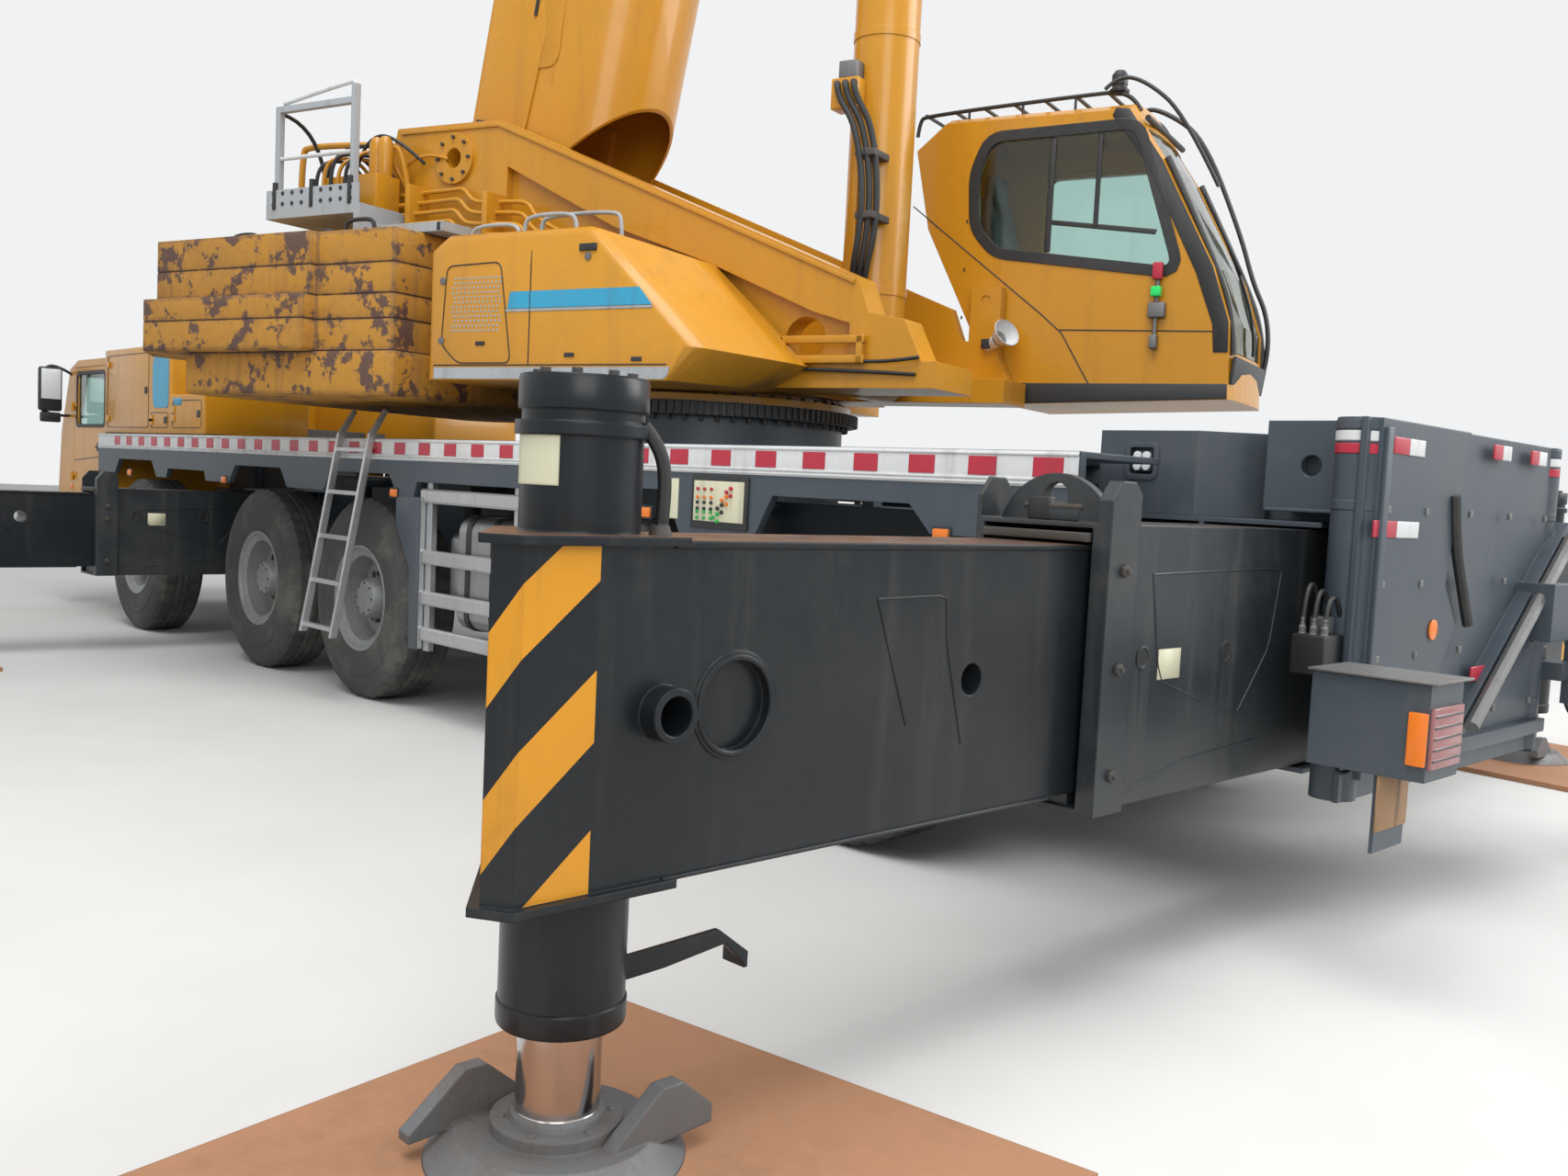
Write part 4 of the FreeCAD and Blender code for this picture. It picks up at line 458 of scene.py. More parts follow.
tree, given = geometry_tree("BarRow", (("Count", "Int", 8), ("Step", "Vector", (0.1, 0, 0)),
                                       ("Size", "Vector", (0.02, 0.02, 0.02))))
spots = grow_node(tree, "MeshLine", Count=given["Count"], Offset=given["Step"])
cube = grow_node(tree, "MeshCube", Size=given["Size"])
bars = grow_node(tree, "InstanceOnPoints", Points=spots.outputs["Mesh"], Instance=cube.outputs["Mesh"])
BAR_ROW = end_tree(tree, bars.outputs[0])

tree, given = geometry_tree("HeadField", (("Across", "Int", 4), ("Down", "Int", 4), ("Wide", "Float", 0.2),
                                          ("High", "Float", 0.2), ("Head", "Float", 0.008),
                                          ("Height", "Float", 0.006), ("Sides", "Int", 8)))
spots = grow_node(tree, "MeshGrid", Size_X=given["Wide"], Size_Y=given["High"], Vertices_X=given["Across"],
                  Vertices_Y=given["Down"])
head = grow_node(tree, "MeshCylinder", Vertices=given["Sides"], Radius=given["Head"], Depth=given["Height"])
heads = grow_node(tree, "InstanceOnPoints", Points=spots.outputs["Mesh"], Instance=head.outputs["Mesh"])
HEAD_FIELD = end_tree(tree, heads.outputs[0])


def grown(tree, **values):
    """The mesh that a tree grows from its named inputs."""
    host = bpy.data.objects.new("host", bpy.data.meshes.new("host"))
    COLLECTION.objects.link(host)
    modifier = host.modifiers.new("Grow", "NODES")
    modifier.node_group = tree
    sockets = {s.name: s.identifier for s in tree.interface.items_tree if s.in_out == "INPUT"}
    for name, value in values.items():
        modifier[sockets[name]] = value
    view = bpy.context.evaluated_depsgraph_get()
    mesh = bpy.data.meshes.new_from_object(host.evaluated_get(view))
    empty = host.data
    bpy.data.objects.remove(host)
    bpy.data.meshes.remove(empty)
    return mesh


# Wheels: ten wide tyres on pressed steel rims with drop centres, hub ends and a ring of nuts. Each is turned about
# its own axle and takes the place of the plain wheel.
RUBBER = worn("TyreRubber", (0.05, 0.05, 0.048), rough=0.8, dirt=0.75, streaks=0.0, chips=0.0, scale=2.0,
              dirt_colour=(0.145, 0.135, 0.118), bump=0.003, peel=0.3)
RIM = worn("RimSilver", (0.27, 0.28, 0.285), rough=0.5, metal=0.35, dirt=0.65, streaks=0.3, chips=0.3, scale=2.0,
           dirt_colour=(0.15, 0.125, 0.1), chip_colour=(0.16, 0.085, 0.05))
half_tyre = [(0.352, 0.18), (0.4, 0.19), (0.5, 0.1925), (0.505, 0.196), (0.525, 0.196), (0.53, 0.192),
             (0.58, 0.19), (0.645, 0.175), (0.672, 0.155), (0.685, 0.143), (0.685, 0.066), (0.673, 0.06),
             (0.673, 0.048), (0.685, 0.042), (0.685, 0.01), (0.675, 0.005)]
TYRE = half_tyre + [(r, -y) for r, y in reversed(half_tyre)]
RIM_PROFILE = [(0, 0.153), (0.09, 0.15), (0.118, 0.142), (0.13, 0.125), (0.15, 0.008), (0.155, 0.0), (0.245, 0.0),
               (0.262, 0.01), (0.282, 0.06), (0.29, 0.15), (0.3, 0.158), (0.335, 0.1705), (0.34, 0.182),
               (0.352, 0.1885), (0.362, 0.1865), (0.362, -0.1865), (0.34, -0.1905), (0.3, -0.185),
               (0.28, -0.17), (0.25, -0.06), (0.15, -0.06), (0.15, -0.11), (0, -0.11)]


def tread(k, radius, height):
    """The shoulder is cut across by a groove at every fourth station."""
    return radius - 0.014 if k % 4 == 0 and radius > 0.65 and abs(height) > 0.06 else radius


for letter in "abcde":
    for side, hand in (("left", 0), ("right", math.pi)):
        name = "wheel_%s_%s" % (letter, side)
        low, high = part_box(name)
        centre = (Vector(low) + Vector(high)) / 2
        wheel = Bench("Wheel_%s_%s" % (letter, side), RUBBER, RIM, CAST, BLACK)
        wheel.turned(TYRE, 0, TO_LEFT, 160, tread)
        wheel.turned(RIM_PROFILE, 1, TO_LEFT, 64)
        for paint, depth, count, ring, head, tall, sides in (
                (2, 0.014, 10, 0.172, 0.0155, 0.032, 6), (2, 0.145, 8, 0.104, 0.009, 0.012, 6),
                (3, 0.0005, 8, 0.212, 0.024, 0.005, 20)):
            wheel.bolts(paint, moved(0, depth, 0, TO_LEFT), count, ring, head, tall, sides)
        wheel.done(name, "tyre", Matrix.Translation(centre) @ Matrix.Rotation(hand, 4, "Z"), (name,))
for letter in "abde":
    dress(CAST, "knuckle_%s_left" % letter, "knuckle_%s_right" % letter)

# Rail band: a white ribbed strip along both sides of the deck, with red reflecting marks stuck on it at one pitch,
# and the small fittings of the side: control panel, side lamps and blank plates.
WHITE = worn("WhitePaint", (0.72, 0.73, 0.73), rough=0.45, dirt=0.3, streaks=0.35, dirt_colour=(0.35, 0.31, 0.27))
RED = worn("RedMark", (0.5, 0.022, 0.05), rough=0.35, dirt=0.25, streaks=0.2, chips=0.1,
           dirt_colour=(0.22, 0.06, 0.05), chip_colour=(0.55, 0.45, 0.45))
AMBER = worn("AmberLens", (0.9, 0.22, 0.02), rough=0.2, dirt=0.15, streaks=0.0, chips=0.0)
PALE = worn("PaleLabel", (0.72, 0.7, 0.5), rough=0.5, dirt=0.25, streaks=0.3, chips=0.0)
GREEN = worn("GreenStud", (0.03, 0.45, 0.08), rough=0.3, dirt=0.1, streaks=0.0, chips=0.0)
RAIL_FRONT, RAIL_LOW, RAIL_HIGH = 5.475, 1.632, 1.769
RED_PITCH, RED_LONG, RED_FIRST = 0.3132, 0.138, 4.944
for side, hand, rail_rear in (("Left", 1, -5.525), ("Right", -1, -5.155)):
    band = Bench("RailBand" + side, WHITE, RED)
    y0, y1 = 1.4995 * hand, 1.505 * hand
    band.bar((rail_rear, y0, RAIL_LOW), (RAIL_FRONT, y1, RAIL_HIGH), 0, 0.0015)
    for z in (RAIL_LOW + 0.012, RAIL_LOW + 0.028, RAIL_HIGH - 0.012):
        band.bar((rail_rear, y0, z - 0.005), (RAIL_FRONT, 1.51 * hand, z + 0.005), 0, 0.002)
    marks = int((RED_FIRST - rail_rear) / RED_PITCH) + 1
    band.row(1, moved(RED_FIRST, 1.5065 * hand, 1.7075), marks, (-RED_PITCH, 0, 0), (RED_LONG, 0.003, 0.075))
    band.done("root", "carrier_white")
    panel = Bench("ControlPanel" + side, BLACK, GREEN, AMBER, RED, PALE)
    panel.bar((-3.72, 1.49 * hand, 1.365), (-3.31, 1.512 * hand, 1.62), 0, 0.006)
    panel.bar((-3.695, 1.505 * hand, 1.4), (-3.335, 1.516 * hand, 1.595), 4, 0.003)
    for row, (paint, z) in enumerate(((3, 1.565), (2, 1.525), (0, 1.485), (1, 1.44))):
        panel.bolts(paint, moved(-3.6 + 0.03 * row, 1.519 * hand, z - 0.02, TO_LEFT), 3, 0.02, 0.01, 0.014, 10)
        panel.field(paint, moved(-3.42, 1.519 * hand, z - 0.01, TO_LEFT), 3, 1 + (row > 1), 0.1, 0.03, 0.0085, 0.012,
                    10)
    panel.done("root", "dark_paint")
    lamps = Bench("SideLamps" + side, AMBER, BLACK, PALE)
    for x in (4.6, 2.45, -0.32, -2.95, -4.89):
        lamps.bar((x - 0.05, 1.495 * hand, 1.385), (x + 0.05, 1.506 * hand, 1.455), 1, 0.004)
        lamps.bar((x - 0.04, 1.5 * hand, 1.395), (x + 0.04, 1.518 * hand, 1.445), 0, 0.008)
    lamps.bar((-3.2, 1.497 * hand, 1.4), (-3.08, 1.502 * hand, 1.6), 2, 0.002)
    lamps.done("root", "dark_paint")

# Guards, ladder and tanks: extruded aluminium bars and tread, a slate end panel over the welded one, and bright
# tanks with straps, hung between the third and fourth axles.
ALUMINIUM = worn("Aluminium", (0.6, 0.61, 0.62), rough=0.35, metal=0.8, dirt=0.35, streaks=0.25, chips=0.0,
                 dirt_colour=(0.3, 0.28, 0.26))
TANK = worn("TankAluminium", (0.42, 0.42, 0.42), rough=0.38, metal=0.9, dirt=0.55, streaks=0.4, chips=0.0,
            dirt_colour=(0.2, 0.18, 0.16))
dress(ALUMINIUM, "guards_and_ladder")
dress(TANK, "fuel_tanks")
for side, hand in (("Left", 1), ("Right", -1)):
    cover = Bench("GuardCover" + side, SLATE)
    outline = [(-0.349, 1.404), (-0.666, 1.404), (-0.666, 0.434), (-0.56, 0.434), (-0.536, 0.95), (-0.349, 1.228)]
    cover.plate([(x, 1.5 * hand, z) for x, z in outline], (0, 0.004 * hand, 0), 0, 0.0015)
    cover.plate([(x, 1.46 * hand, z) for x, z in outline], (0, -0.004 * hand, 0), 0, 0.0015)
    cover.done("root", "dark_paint")
    straps = Bench("TankStraps" + side, BLACK, CAST)
    across = Matrix(((0, 1, 0, 0), (hand, 0, 0, 0), (0, 0, 1, 0), (0, 0, 0, 1)))
    for x in (-1.7, -1.42, -1.14):
        loop = rounded([(0.7, 0.6), (1.42, 0.6), (1.42, 1.31), (0.7, 1.31)], 0.11, x)
        straps.ring(loop, 0.006, 0.05, 0, across)
    straps.turned([(0, 0), (0.07, 0), (0.075, 0.01), (0.075, 0.045), (0.06, 0.055), (0, 0.055)], 1,
                  moved(-1.56, 1.15 * hand, 1.308), 24)
    straps.done("root", "dark_paint")

# Outriggers: two box beams one in the other, in near-black paint, with warning stripes on the outer end, rusty
# walked-on tops, a jack tube and a chromed rod that stands on its float. The fittings are welded or bolted on.
STRIPES, w, given, put = shader_group(
    "WarningStripes", (("Face", -6.1), ("Start", 4.1), ("Low", 0.69), ("High", 1.44)), (("Mask", "Float"),))
spot = w.add("SeparateXYZ", Vector=w.add("TexCoord").outputs["Object"])
flat = w.add("SeparateXYZ", Vector=w.add("NewGeometry").outputs["True Normal"])
out = w.maths("ABSOLUTE", spot.outputs["Y"])
along = w.maths("ADD", w.maths("MULTIPLY", w.maths("SUBTRACT", out, 4.1), 0.84),
                w.maths("MULTIPLY", w.maths("SUBTRACT", spot.outputs["X"], given.outputs["Face"]), 1.17))
phase = w.maths("FRACT", w.maths("DIVIDE", w.maths("ADD", w.maths("ADD", spot.outputs["Z"], along), 2.775), 0.345))
mask = w.maths("MULTIPLY", w.maths("LESS_THAN", phase, 0.45), w.maths("GREATER_THAN", out, given.outputs["Start"]))
mask = w.maths("MULTIPLY", mask, w.step(spot.outputs["Z"], given.outputs["Low"], given.outputs["High"]))
w.put(put.inputs["Mask"], w.maths("MULTIPLY", mask, w.maths(
    "LESS_THAN", w.maths("ABSOLUTE", flat.outputs["Z"]), 0.5)))

RUST, w, given, put = shader_group("WalkedRust", (("Height", 1.45),), (("Mask", "Float"),))
spot = w.add("TexCoord").outputs["Object"]
flat = w.add("SeparateXYZ", Vector=w.add("NewGeometry").outputs["True Normal"])
height = w.maths("ABSOLUTE", w.maths("SUBTRACT", w.add("SeparateXYZ", Vector=spot).outputs["Z"],
                                     given.outputs["Height"]))
topmost = w.maths("MULTIPLY", w.maths("GREATER_THAN", flat.outputs["Z"], 0.7), w.maths("LESS_THAN", height, 0.05))
w.put(put.inputs["Mask"], w.maths("MULTIPLY", topmost, w.ramp(w.noise(spot, 5.0, 6.0, 0.7), 0.3, 0.55)))


def placed(m, group, **values):
    node = m.nodes.new("ShaderNodeGroup")
    node.node_tree = group
    for name, value in values.items():
        m.put(node.inputs[name], value)
    return node.outputs["Mask"]


BEAM_COLOUR, STRIPE_COLOUR, RUST_COLOUR = (0.024, 0.029, 0.033), (0.62, 0.27, 0.018), (0.125, 0.068, 0.045)
BEAM_WEAR = dict(rough=0.36, dirt=0.35, streaks=0.3, chips=0.14, dirt_colour=(0.075, 0.074, 0.072),
                 chip_colour=(0.16, 0.09, 0.06))
CHROME = worn("ChromeRod", (0.6, 0.58, 0.57), rough=0.14, metal=1.0, dirt=0.2, streaks=0.35, chips=0.0,
              dirt_colour=(0.2, 0.16, 0.14))
FLOAT_STEEL = worn("FloatSteel", (0.16, 0.165, 0.17), rough=0.55, metal=0.3, dirt=0.6, streaks=0.1, chips=0.3,
                   scale=2.5, dirt_colour=(0.13, 0.09, 0.06), chip_colour=(0.3, 0.3, 0.3))
BEAM = worn("BeamPaint", BEAM_COLOUR, **BEAM_WEAR)
INNER_COLOUR = (0.011, 0.014, 0.017)
INNER_WEAR = dict(BEAM_WEAR, dirt=0.22, chips=0.08, rough=0.3, shine=0.3, dirt_colour=(0.045, 0.046, 0.046))
INNER = worn("InnerBeamPaint", INNER_COLOUR, **INNER_WEAR)
# Set: name, left beam's centre, pitch to the right one, half widths, beam heights, jack's top
SETS = (("rear", -5.92, 0.48, 0.22, 0.18, 0.63, 1.52, 0.69, 1.44, 1.8),
        ("front", 3.13, 0.33, 0.15, 0.125, 0.62, 1.31, 0.69, 1.256, 1.465))
JACK_Y, STAGE_ONE_END = 4.03, 2.3
for end, beam_x, pitch, outer, inner, low, high, low_in, high_in, jack_top in SETS:
    for side, hand in (("left", 1), ("right", -1)):
        x = beam_x if hand > 0 else beam_x + pitch
        own = "outrigger_%s_%s_" % (end, side)
        tag = "%s%s" % (end.title(), side.title())

        def end_marks(m, colour, face=x - inner, low_in=low_in, high_in=high_in):
            striped = m.mix(placed(m, STRIPES, Face=face, Low=low_in + 0.002, High=high_in - 0.002), colour,
                            STRIPE_COLOUR)
            return m.mix(placed(m, RUST, Height=high_in + 0.012), striped, RUST_COLOUR)

        def rim_marks(m, colour, high=high):
            return m.mix(m.maths("MULTIPLY", placed(m, RUST, Height=high), 0.35), colour, RUST_COLOUR)

        dress(worn("StripedBeam" + tag, INNER_COLOUR, marks=end_marks, **INNER_WEAR), own + "stage_two")
        dress(worn("Beam" + tag, BEAM_COLOUR, marks=rim_marks, **BEAM_WEAR), own + "stage_one")
        dress(FLOAT_STEEL, own + "foot")
        home = moved(x, 0, 0) @ Matrix.Rotation(0 if hand > 0 else math.pi, 4, "Z")
        rod = Bench("JackRod" + tag, CHROME, FLOAT_STEEL)
        rod.turned([(0, 0.1), (0.14, 0.1), (0.145, 0.106), (0.142, 0.112), (0.114, 0.116), (0.108, 0.134),
                    (0.1, 0.139), (0, 0.139)], 1, moved(0, JACK_Y, 0), 48)
        rod.turned([(0, 0.13), (0.0972, 0.13), (0.0972, jack_top - 0.36), (0, jack_top - 0.36)], 0,
                   moved(0, JACK_Y, 0), 48)
        rod.bolts(1, moved(0, JACK_Y, 0.113), 6, 0.127, 0.011, 0.02)
        rod.done(own + "foot", "chrome_rod", home)

        head = Bench("JackFittings" + tag, INNER, BLACK, PALE, CAST)
        at_jack = moved(0, JACK_Y, 0)
        head.bolts(3, at_jack @ moved(0, 0, jack_top + 0.006), 8, 0.105, 0.012, 0.016)
        head.turned([(0.136, jack_top - 0.0745), (0.1435, jack_top - 0.0745), (0.1445, jack_top - 0.07),
                     (0.1445, jack_top - 0.008), (0.139, jack_top + 0.001), (0.12, jack_top + 0.001),
                     (0.115, jack_top - 0.004), (0.115, jack_top - 0.02), (0.136, jack_top - 0.02)], 0, at_jack, 48)
        head.turned([(0.143, 0.346), (0.147, 0.348), (0.149, 0.36), (0.149, 0.4), (0.1445, 0.405), (0.143, 0.405)], 0,
                    at_jack, 48)
        head.turned([(0.0985, 0.343), (0.125, 0.343), (0.13, 0.35), (0.098, 0.352)], 1, at_jack, 48)
        head.bolts(3, at_jack @ moved(0, 0, low_in - 0.028), 5, 0.165, 0.012, 0.018)
        turned_to = [math.radians(a) for a in range(64, 127, 6)]
        for radius, paint, z0, z1 in ((0.138, 1, high_in + 0.116, high_in + 0.232),
                                      (0.1388, 2, high_in + 0.12, high_in + 0.228)):
            arc = [(radius * math.cos(a), JACK_Y + radius * math.sin(a)) for a in turned_to]
            back = [((radius - 0.004) * math.cos(a), JACK_Y + (radius - 0.004) * math.sin(a))
                    for a in reversed(turned_to)]
            if z1 < jack_top - 0.13:
                head.plate([(px, py, z0) for px, py in arc + back], (0, 0, z1 - z0), paint)
        reach = jack_top - 0.1
        head.pipe([(-0.1, JACK_Y - 0.09, reach), (-0.118, JACK_Y - 0.125, reach - 0.04),
                   (-0.122, JACK_Y - 0.145, (reach + high_in) / 2), (-0.11, JACK_Y - 0.142, high_in + 0.02)], 0.016,
                  1)
        head.turned([(0, 0), (0.026, 0), (0.028, 0.006), (0.02, 0.03), (0, 0.03)], 3,
                    moved(-0.11, JACK_Y - 0.142, high_in + 0.012), 16)
        face = -inner
        for route in ([(3.224, high_in - 0.132), (2.947, high_in - 0.128), (2.934, high_in - 0.26),
                       (2.848, low_in + 0.205)], [(3.224, high_in - 0.132), (3.087, low_in + 0.278)]):
            head.pipe([(face, y, z) for y, z in route], 0.003, 0, 2)
        head.turned([(0.106, 0), (0.12, 0), (0.121, 0.004), (0.118, 0.007), (0.11, 0.007), (0.106, 0.004)], 0,
                    moved(face - 0.001, 3.7, 1.07, TO_REAR), 48)
        for z in (low_in - 0.001, high_in):
            head.pipe([(face - 0.002, y, z) for y in (STAGE_ONE_END + 1.6, 2.42)], 0.006, 0, 2)
        head.done(own + "stage_two", "beam_paint", home)

        sleeve = Bench("SleeveFittings" + tag, BEAM, BLACK, PALE, CAST)
        face, top = -outer, high
        relief = [(1.963, top - 0.156), (1.08, top - 0.14), (1.142, low + 0.46), (1.356, low + 0.226),
                  (1.889, low + 0.39)]
        sleeve.pipe([(face, y, z) for y, z in relief + relief[:1]], 0.004, 0, 2)
        sleeve.pipe([(face, 2.115, low + 0.03), (face, 1.678, low + 0.11), (face, 1.2, low + 0.13)], 0.004, 0, 2)
        for y, z in ((1.994, 1.098), (1.458, 1.092)):
            spot = moved(face, y, z, TO_REAR)
            sleeve.turned([(0.03, 0), (0.038, 0), (0.038, 0.004), (0.03, 0.004)], 0, spot, 24)
            sleeve.turned([(0, 0), (0.031, 0), (0.031, 0.0015), (0, 0.0015)], 1, spot, 24)
        sleeve.bar((face - 0.002, 1.76, 1.02), (face, 1.9, 1.12), 2, 0.0008)
        for y in (1.46, 1.99):
            sleeve.turned([(0, 0), (0.024, 0), (0.024, 0.003), (0.016, 0.004), (0, 0.004)], 3,
                          moved(-outer * 0.35, y, top), 12)
        for z in (low + 0.12, low + 0.45, top - 0.14):
            sleeve.turned([(0, 0), (0.02, 0), (0.02, 0.012), (0.01, 0.014), (0.01, 0.024), (0, 0.024)], 3,
                          moved(face - 0.05, 2.22, z, TO_REAR), 6)
        sleeve.bar((-0.09, 2.182, top), (0.09, 2.208, top + 0.04), 0, 0.006)
        sleeve.pipe([(-0.1, 2.195, top + 0.045), (0.12, 2.195, top + 0.045)], 0.014, 3, 2)
        sleeve.bar((0.02, 2.175, top), (0.1, 2.215, top + 0.075), 1, 0.008)
        sleeve.bar((-inner - 0.02, STAGE_ONE_END - 0.004, high_in + 0.022),
                   (inner + 0.02, STAGE_ONE_END + 0.012, high_in + 0.05), 3, 0.003)
        sleeve.done(own + "stage_one", "beam_paint", home)

# Tail: the lamp housing and end panel over the rear outrigger box, the wall with its strut, and the lamp boxes.
# Slate plate with bolted lamps, reflecting marks, a valve block and blank plates.
dress(SLATE, "tail")
LENS = worn("WorkLens", (0.75, 0.78, 0.8), rough=0.12, dirt=0.1, streaks=0.0, chips=0.0)
TAIL_RED = worn("TailLens", (0.36, 0.12, 0.12), rough=0.25, dirt=0.35, streaks=0.2, chips=0.0,
                dirt_colour=(0.3, 0.26, 0.24))
TAN = worn("TanPlate", (0.34, 0.2, 0.1), rough=0.7, dirt=0.5, streaks=0.6, chips=0.15, scale=3.0)
HARDWARE = worn("GreyHardware", (0.2, 0.2, 0.2), rough=0.5, metal=0.6, dirt=0.5, streaks=0.2, chips=0.2)
for side, hand in (("Left", 1), ("Right", -1)):
    lamp = Bench("WorkLamp" + side, BLACK, LENS, SLATE)
    x, y, z = -5.39, 0.845 * hand, 1.765
    lamp.ring(rounded([(x - 0.055, z - 0.055), (x + 0.055, z - 0.055), (x + 0.055, z + 0.055),
                       (x - 0.055, z + 0.055)], 0.015, y - 0.002 * hand), 0.022, 0.008 * hand, 2)
    lamp.bar((x - 0.045, y - 0.026 * hand, z - 0.045), (x + 0.045, y - 0.002 * hand, z + 0.045), 0, 0.008)
    lamp.field(1, moved(x, y, z, TO_LEFT), 2, 2, 0.042, 0.042, 0.018, 0.01, 20)
    lamp.pipe([(x + 0.02, y - 0.02 * hand, z - 0.05), (x + 0.02, y + 0.004 * hand, z - 0.085),
               (x + 0.02, y - 0.02 * hand, z - 0.12)], 0.006, 0)
    lamp.done("root", "dark_paint")
wall = Bench("WallFittings", SLATE, RED, WHITE, BLACK, AMBER, HARDWARE)
face = -6.432
for y0, y1, z0, z1 in ((0.62, 0.9, 1.81, 1.87), (0.62, 1.02, 1.51, 1.57), (-0.45, -0.05, 0.93, 0.99),
                       (-0.3, -0.1, 1.84, 1.9), (-0.75, -0.55, 1.84, 1.9)):
    middle = (y0 + y1) / 2
    wall.bar((face - 0.002, middle, z0), (face + 0.004, y1, z1), 1, 0.0006)
    wall.bar((face - 0.002, y0, z0), (face + 0.004, middle, z1), 2, 0.0006)
wall.turned([(0, 0), (0.04, 0), (0.04, 0.006), (0.024, 0.01), (0, 0.01)], 4, moved(face, 0.4, 1.16, TO_REAR), 24)
wall.pipe([(face - 0.006, 0.3, 1.68), (face - 0.006, 0.26, 1.5), (face - 0.006, 0.16, 1.34),
           (face - 0.006, 0.05, 1.17)], 0.022, 3)
for y in (0.9, 0.55, 0.1, -0.35, -0.8):
    wall.row(5, moved(face + 0.002, y, 0.8), 4, (0, 0, 0.27), (0.012, 0.026, 0.026))
wall.plate([(face - 0.012, 0.98, 0.72), (face - 0.012, 0.98, 1.9), (face - 0.012, 0.93, 1.9),
            (face - 0.012, 0.93, 0.72)], (0.02, 0, 0), 0, 0.004)
wall.plate([(face - 0.01, -1.02, 0.7), (face - 0.01, 0.98, 0.7), (face - 0.01, 0.98, 0.64),
            (face - 0.01, -1.02, 0.64)], (0.06, 0, 0), 0, 0.004)
wall.pipe([(-6.49, -1.00, 1.53), (-6.49, -0.45, 1.13), (-6.49, 0.06, 0.76)], 0.03, 5, 2)
wall.done("root", "dark_paint")
column = Bench("TailColumnBands", SLATE, RED, WHITE, BLACK)
for hand in (1, -1):
    at = moved(-6.34, 0.97 * hand, 0)
    for z, paint in ((1.885, 0), (1.845, 2), (1.8, 1), (1.6, 0), (0.76, 0)):
        column.turned([(0.0795, z), (0.083, z + 0.002), (0.083, z + 0.036), (0.0795, z + 0.038)], paint, at, 32)
column.done("root", "dark_paint")
valve = Bench("ValveBlock", BLACK, HARDWARE)
for hand in (1, -1):
    valve.bar((-6.37, 1.04 * hand, 1.02), (-6.25, 1.2 * hand, 1.16), 0, 0.008)
    valve.bar((-6.34, 1.06 * hand, 1.16), (-6.28, 1.13 * hand, 1.22), 1, 0.006)
    for k, x in enumerate((-6.35, -6.31, -6.27)):
        valve.turned([(0, 0), (0.014, 0), (0.014, 0.03), (0.009, 0.034), (0.009, 0.06), (0, 0.06)], 1,
                     moved(x, 1.16 * hand, 1.155), 6)
        valve.pipe([(x, 1.16 * hand, 1.2), (x, 1.15 * hand, 1.28 + 0.02 * k), (x, 1.08 * hand, 1.3 + 0.02 * k),
                    (x, 1.04 * hand, 1.22)], 0.009, 0)
    valve.bar((-6.385, 1.05 * hand, 0.93), (-6.33, 1.16 * hand, 1.02), 1, 0.006)
valve.done("root", "dark_paint")
for side, hand in (("Left", 1), ("Right", -1)):
    box = Bench("TailLamp" + side, BLACK, TAIL_RED, AMBER, HARDWARE, TAN)
    y0, y1 = 1.18 * hand, 1.45 * hand
    box.bar((-6.842, y0 + 0.01 * hand, 0.8), (-6.828, y1 - 0.01 * hand, 0.995), 1, 0.004)
    box.row(0, moved(-6.843, 1.315 * hand, 0.828), 5, (0, 0, 0.035), (0.006, 0.23, 0.005))
    box.bar((-6.83, y1 - 0.002 * hand, 0.81), (-6.77, y1 + 0.014 * hand, 0.98), 2, 0.006)
    box.plate([(-6.855, y0 - 0.02 * hand, 1.071), (-6.855, y1 + 0.02 * hand, 1.071), (-6.44, y1 + 0.02 * hand, 1.071),
               (-6.44, y0 - 0.02 * hand, 1.071)], (0, 0, 0.008), 3, 0.002)
    box.bar((-6.69, 1.195 * hand, 0.57), (-6.683, 1.445 * hand, 0.78), 4, 0.002)
    box.pipe([(-6.5, 1.2 * hand, 0.77), (-6.52, 1.22 * hand, 0.72), (-6.47, 1.27 * hand, 0.7),
              (-6.46, 1.24 * hand, 0.755)], 0.008, 0)
    box.done("root", "dark_paint")

# Driver's cab: a pressed and painted shell with bonded glass, black surrounds, mirrors, wipers, lamps and a slatted
# grille over the bumper. The doors carry their own glass, handles and seams.
YELLOW = worn("YellowPaint", (0.6, 0.265, 0.012), rough=0.3, dirt=0.16, streaks=0.12, chips=0.05, coat=0.2,
              shade=0.88, shine=0.4)
GLASS = bpy.data.materials.new("CabGlass")
GLASS.use_nodes = True
pane = Wiring(GLASS.node_tree)
surface = pane.nodes["Principled BSDF"]
pane.put(surface.inputs["Base Color"], (0.62, 0.78, 0.74))
smears = pane.noise(pane.add("TexCoord").outputs["Object"], 3.0, 5.0, 0.7)
pane.put(surface.inputs["Roughness"], pane.add("MapRange", Value=smears, To_Min=0.01, To_Max=0.1).outputs["Result"])
surface.inputs["Transmission Weight"].default_value = 1.0
surface.inputs["IOR"].default_value = 1.45
TRIM = worn("DarkPlastic", (0.03, 0.031, 0.033), rough=0.5, dirt=0.2, streaks=0.0, chips=0.0, scale=3.0)
dress(YELLOW, "driver_cab", "driver_door_left", "driver_door_right")
dress(GLASS, "driver_cab_glass")
cab = Bench("DriverCabTrim", BLACK, YELLOW, LENS, AMBER, TRIM, SLATE)


def screen_x(z):
    """The raked windscreen's place at the height z."""
    return 6.96 - (z - 1.8) * 0.4194


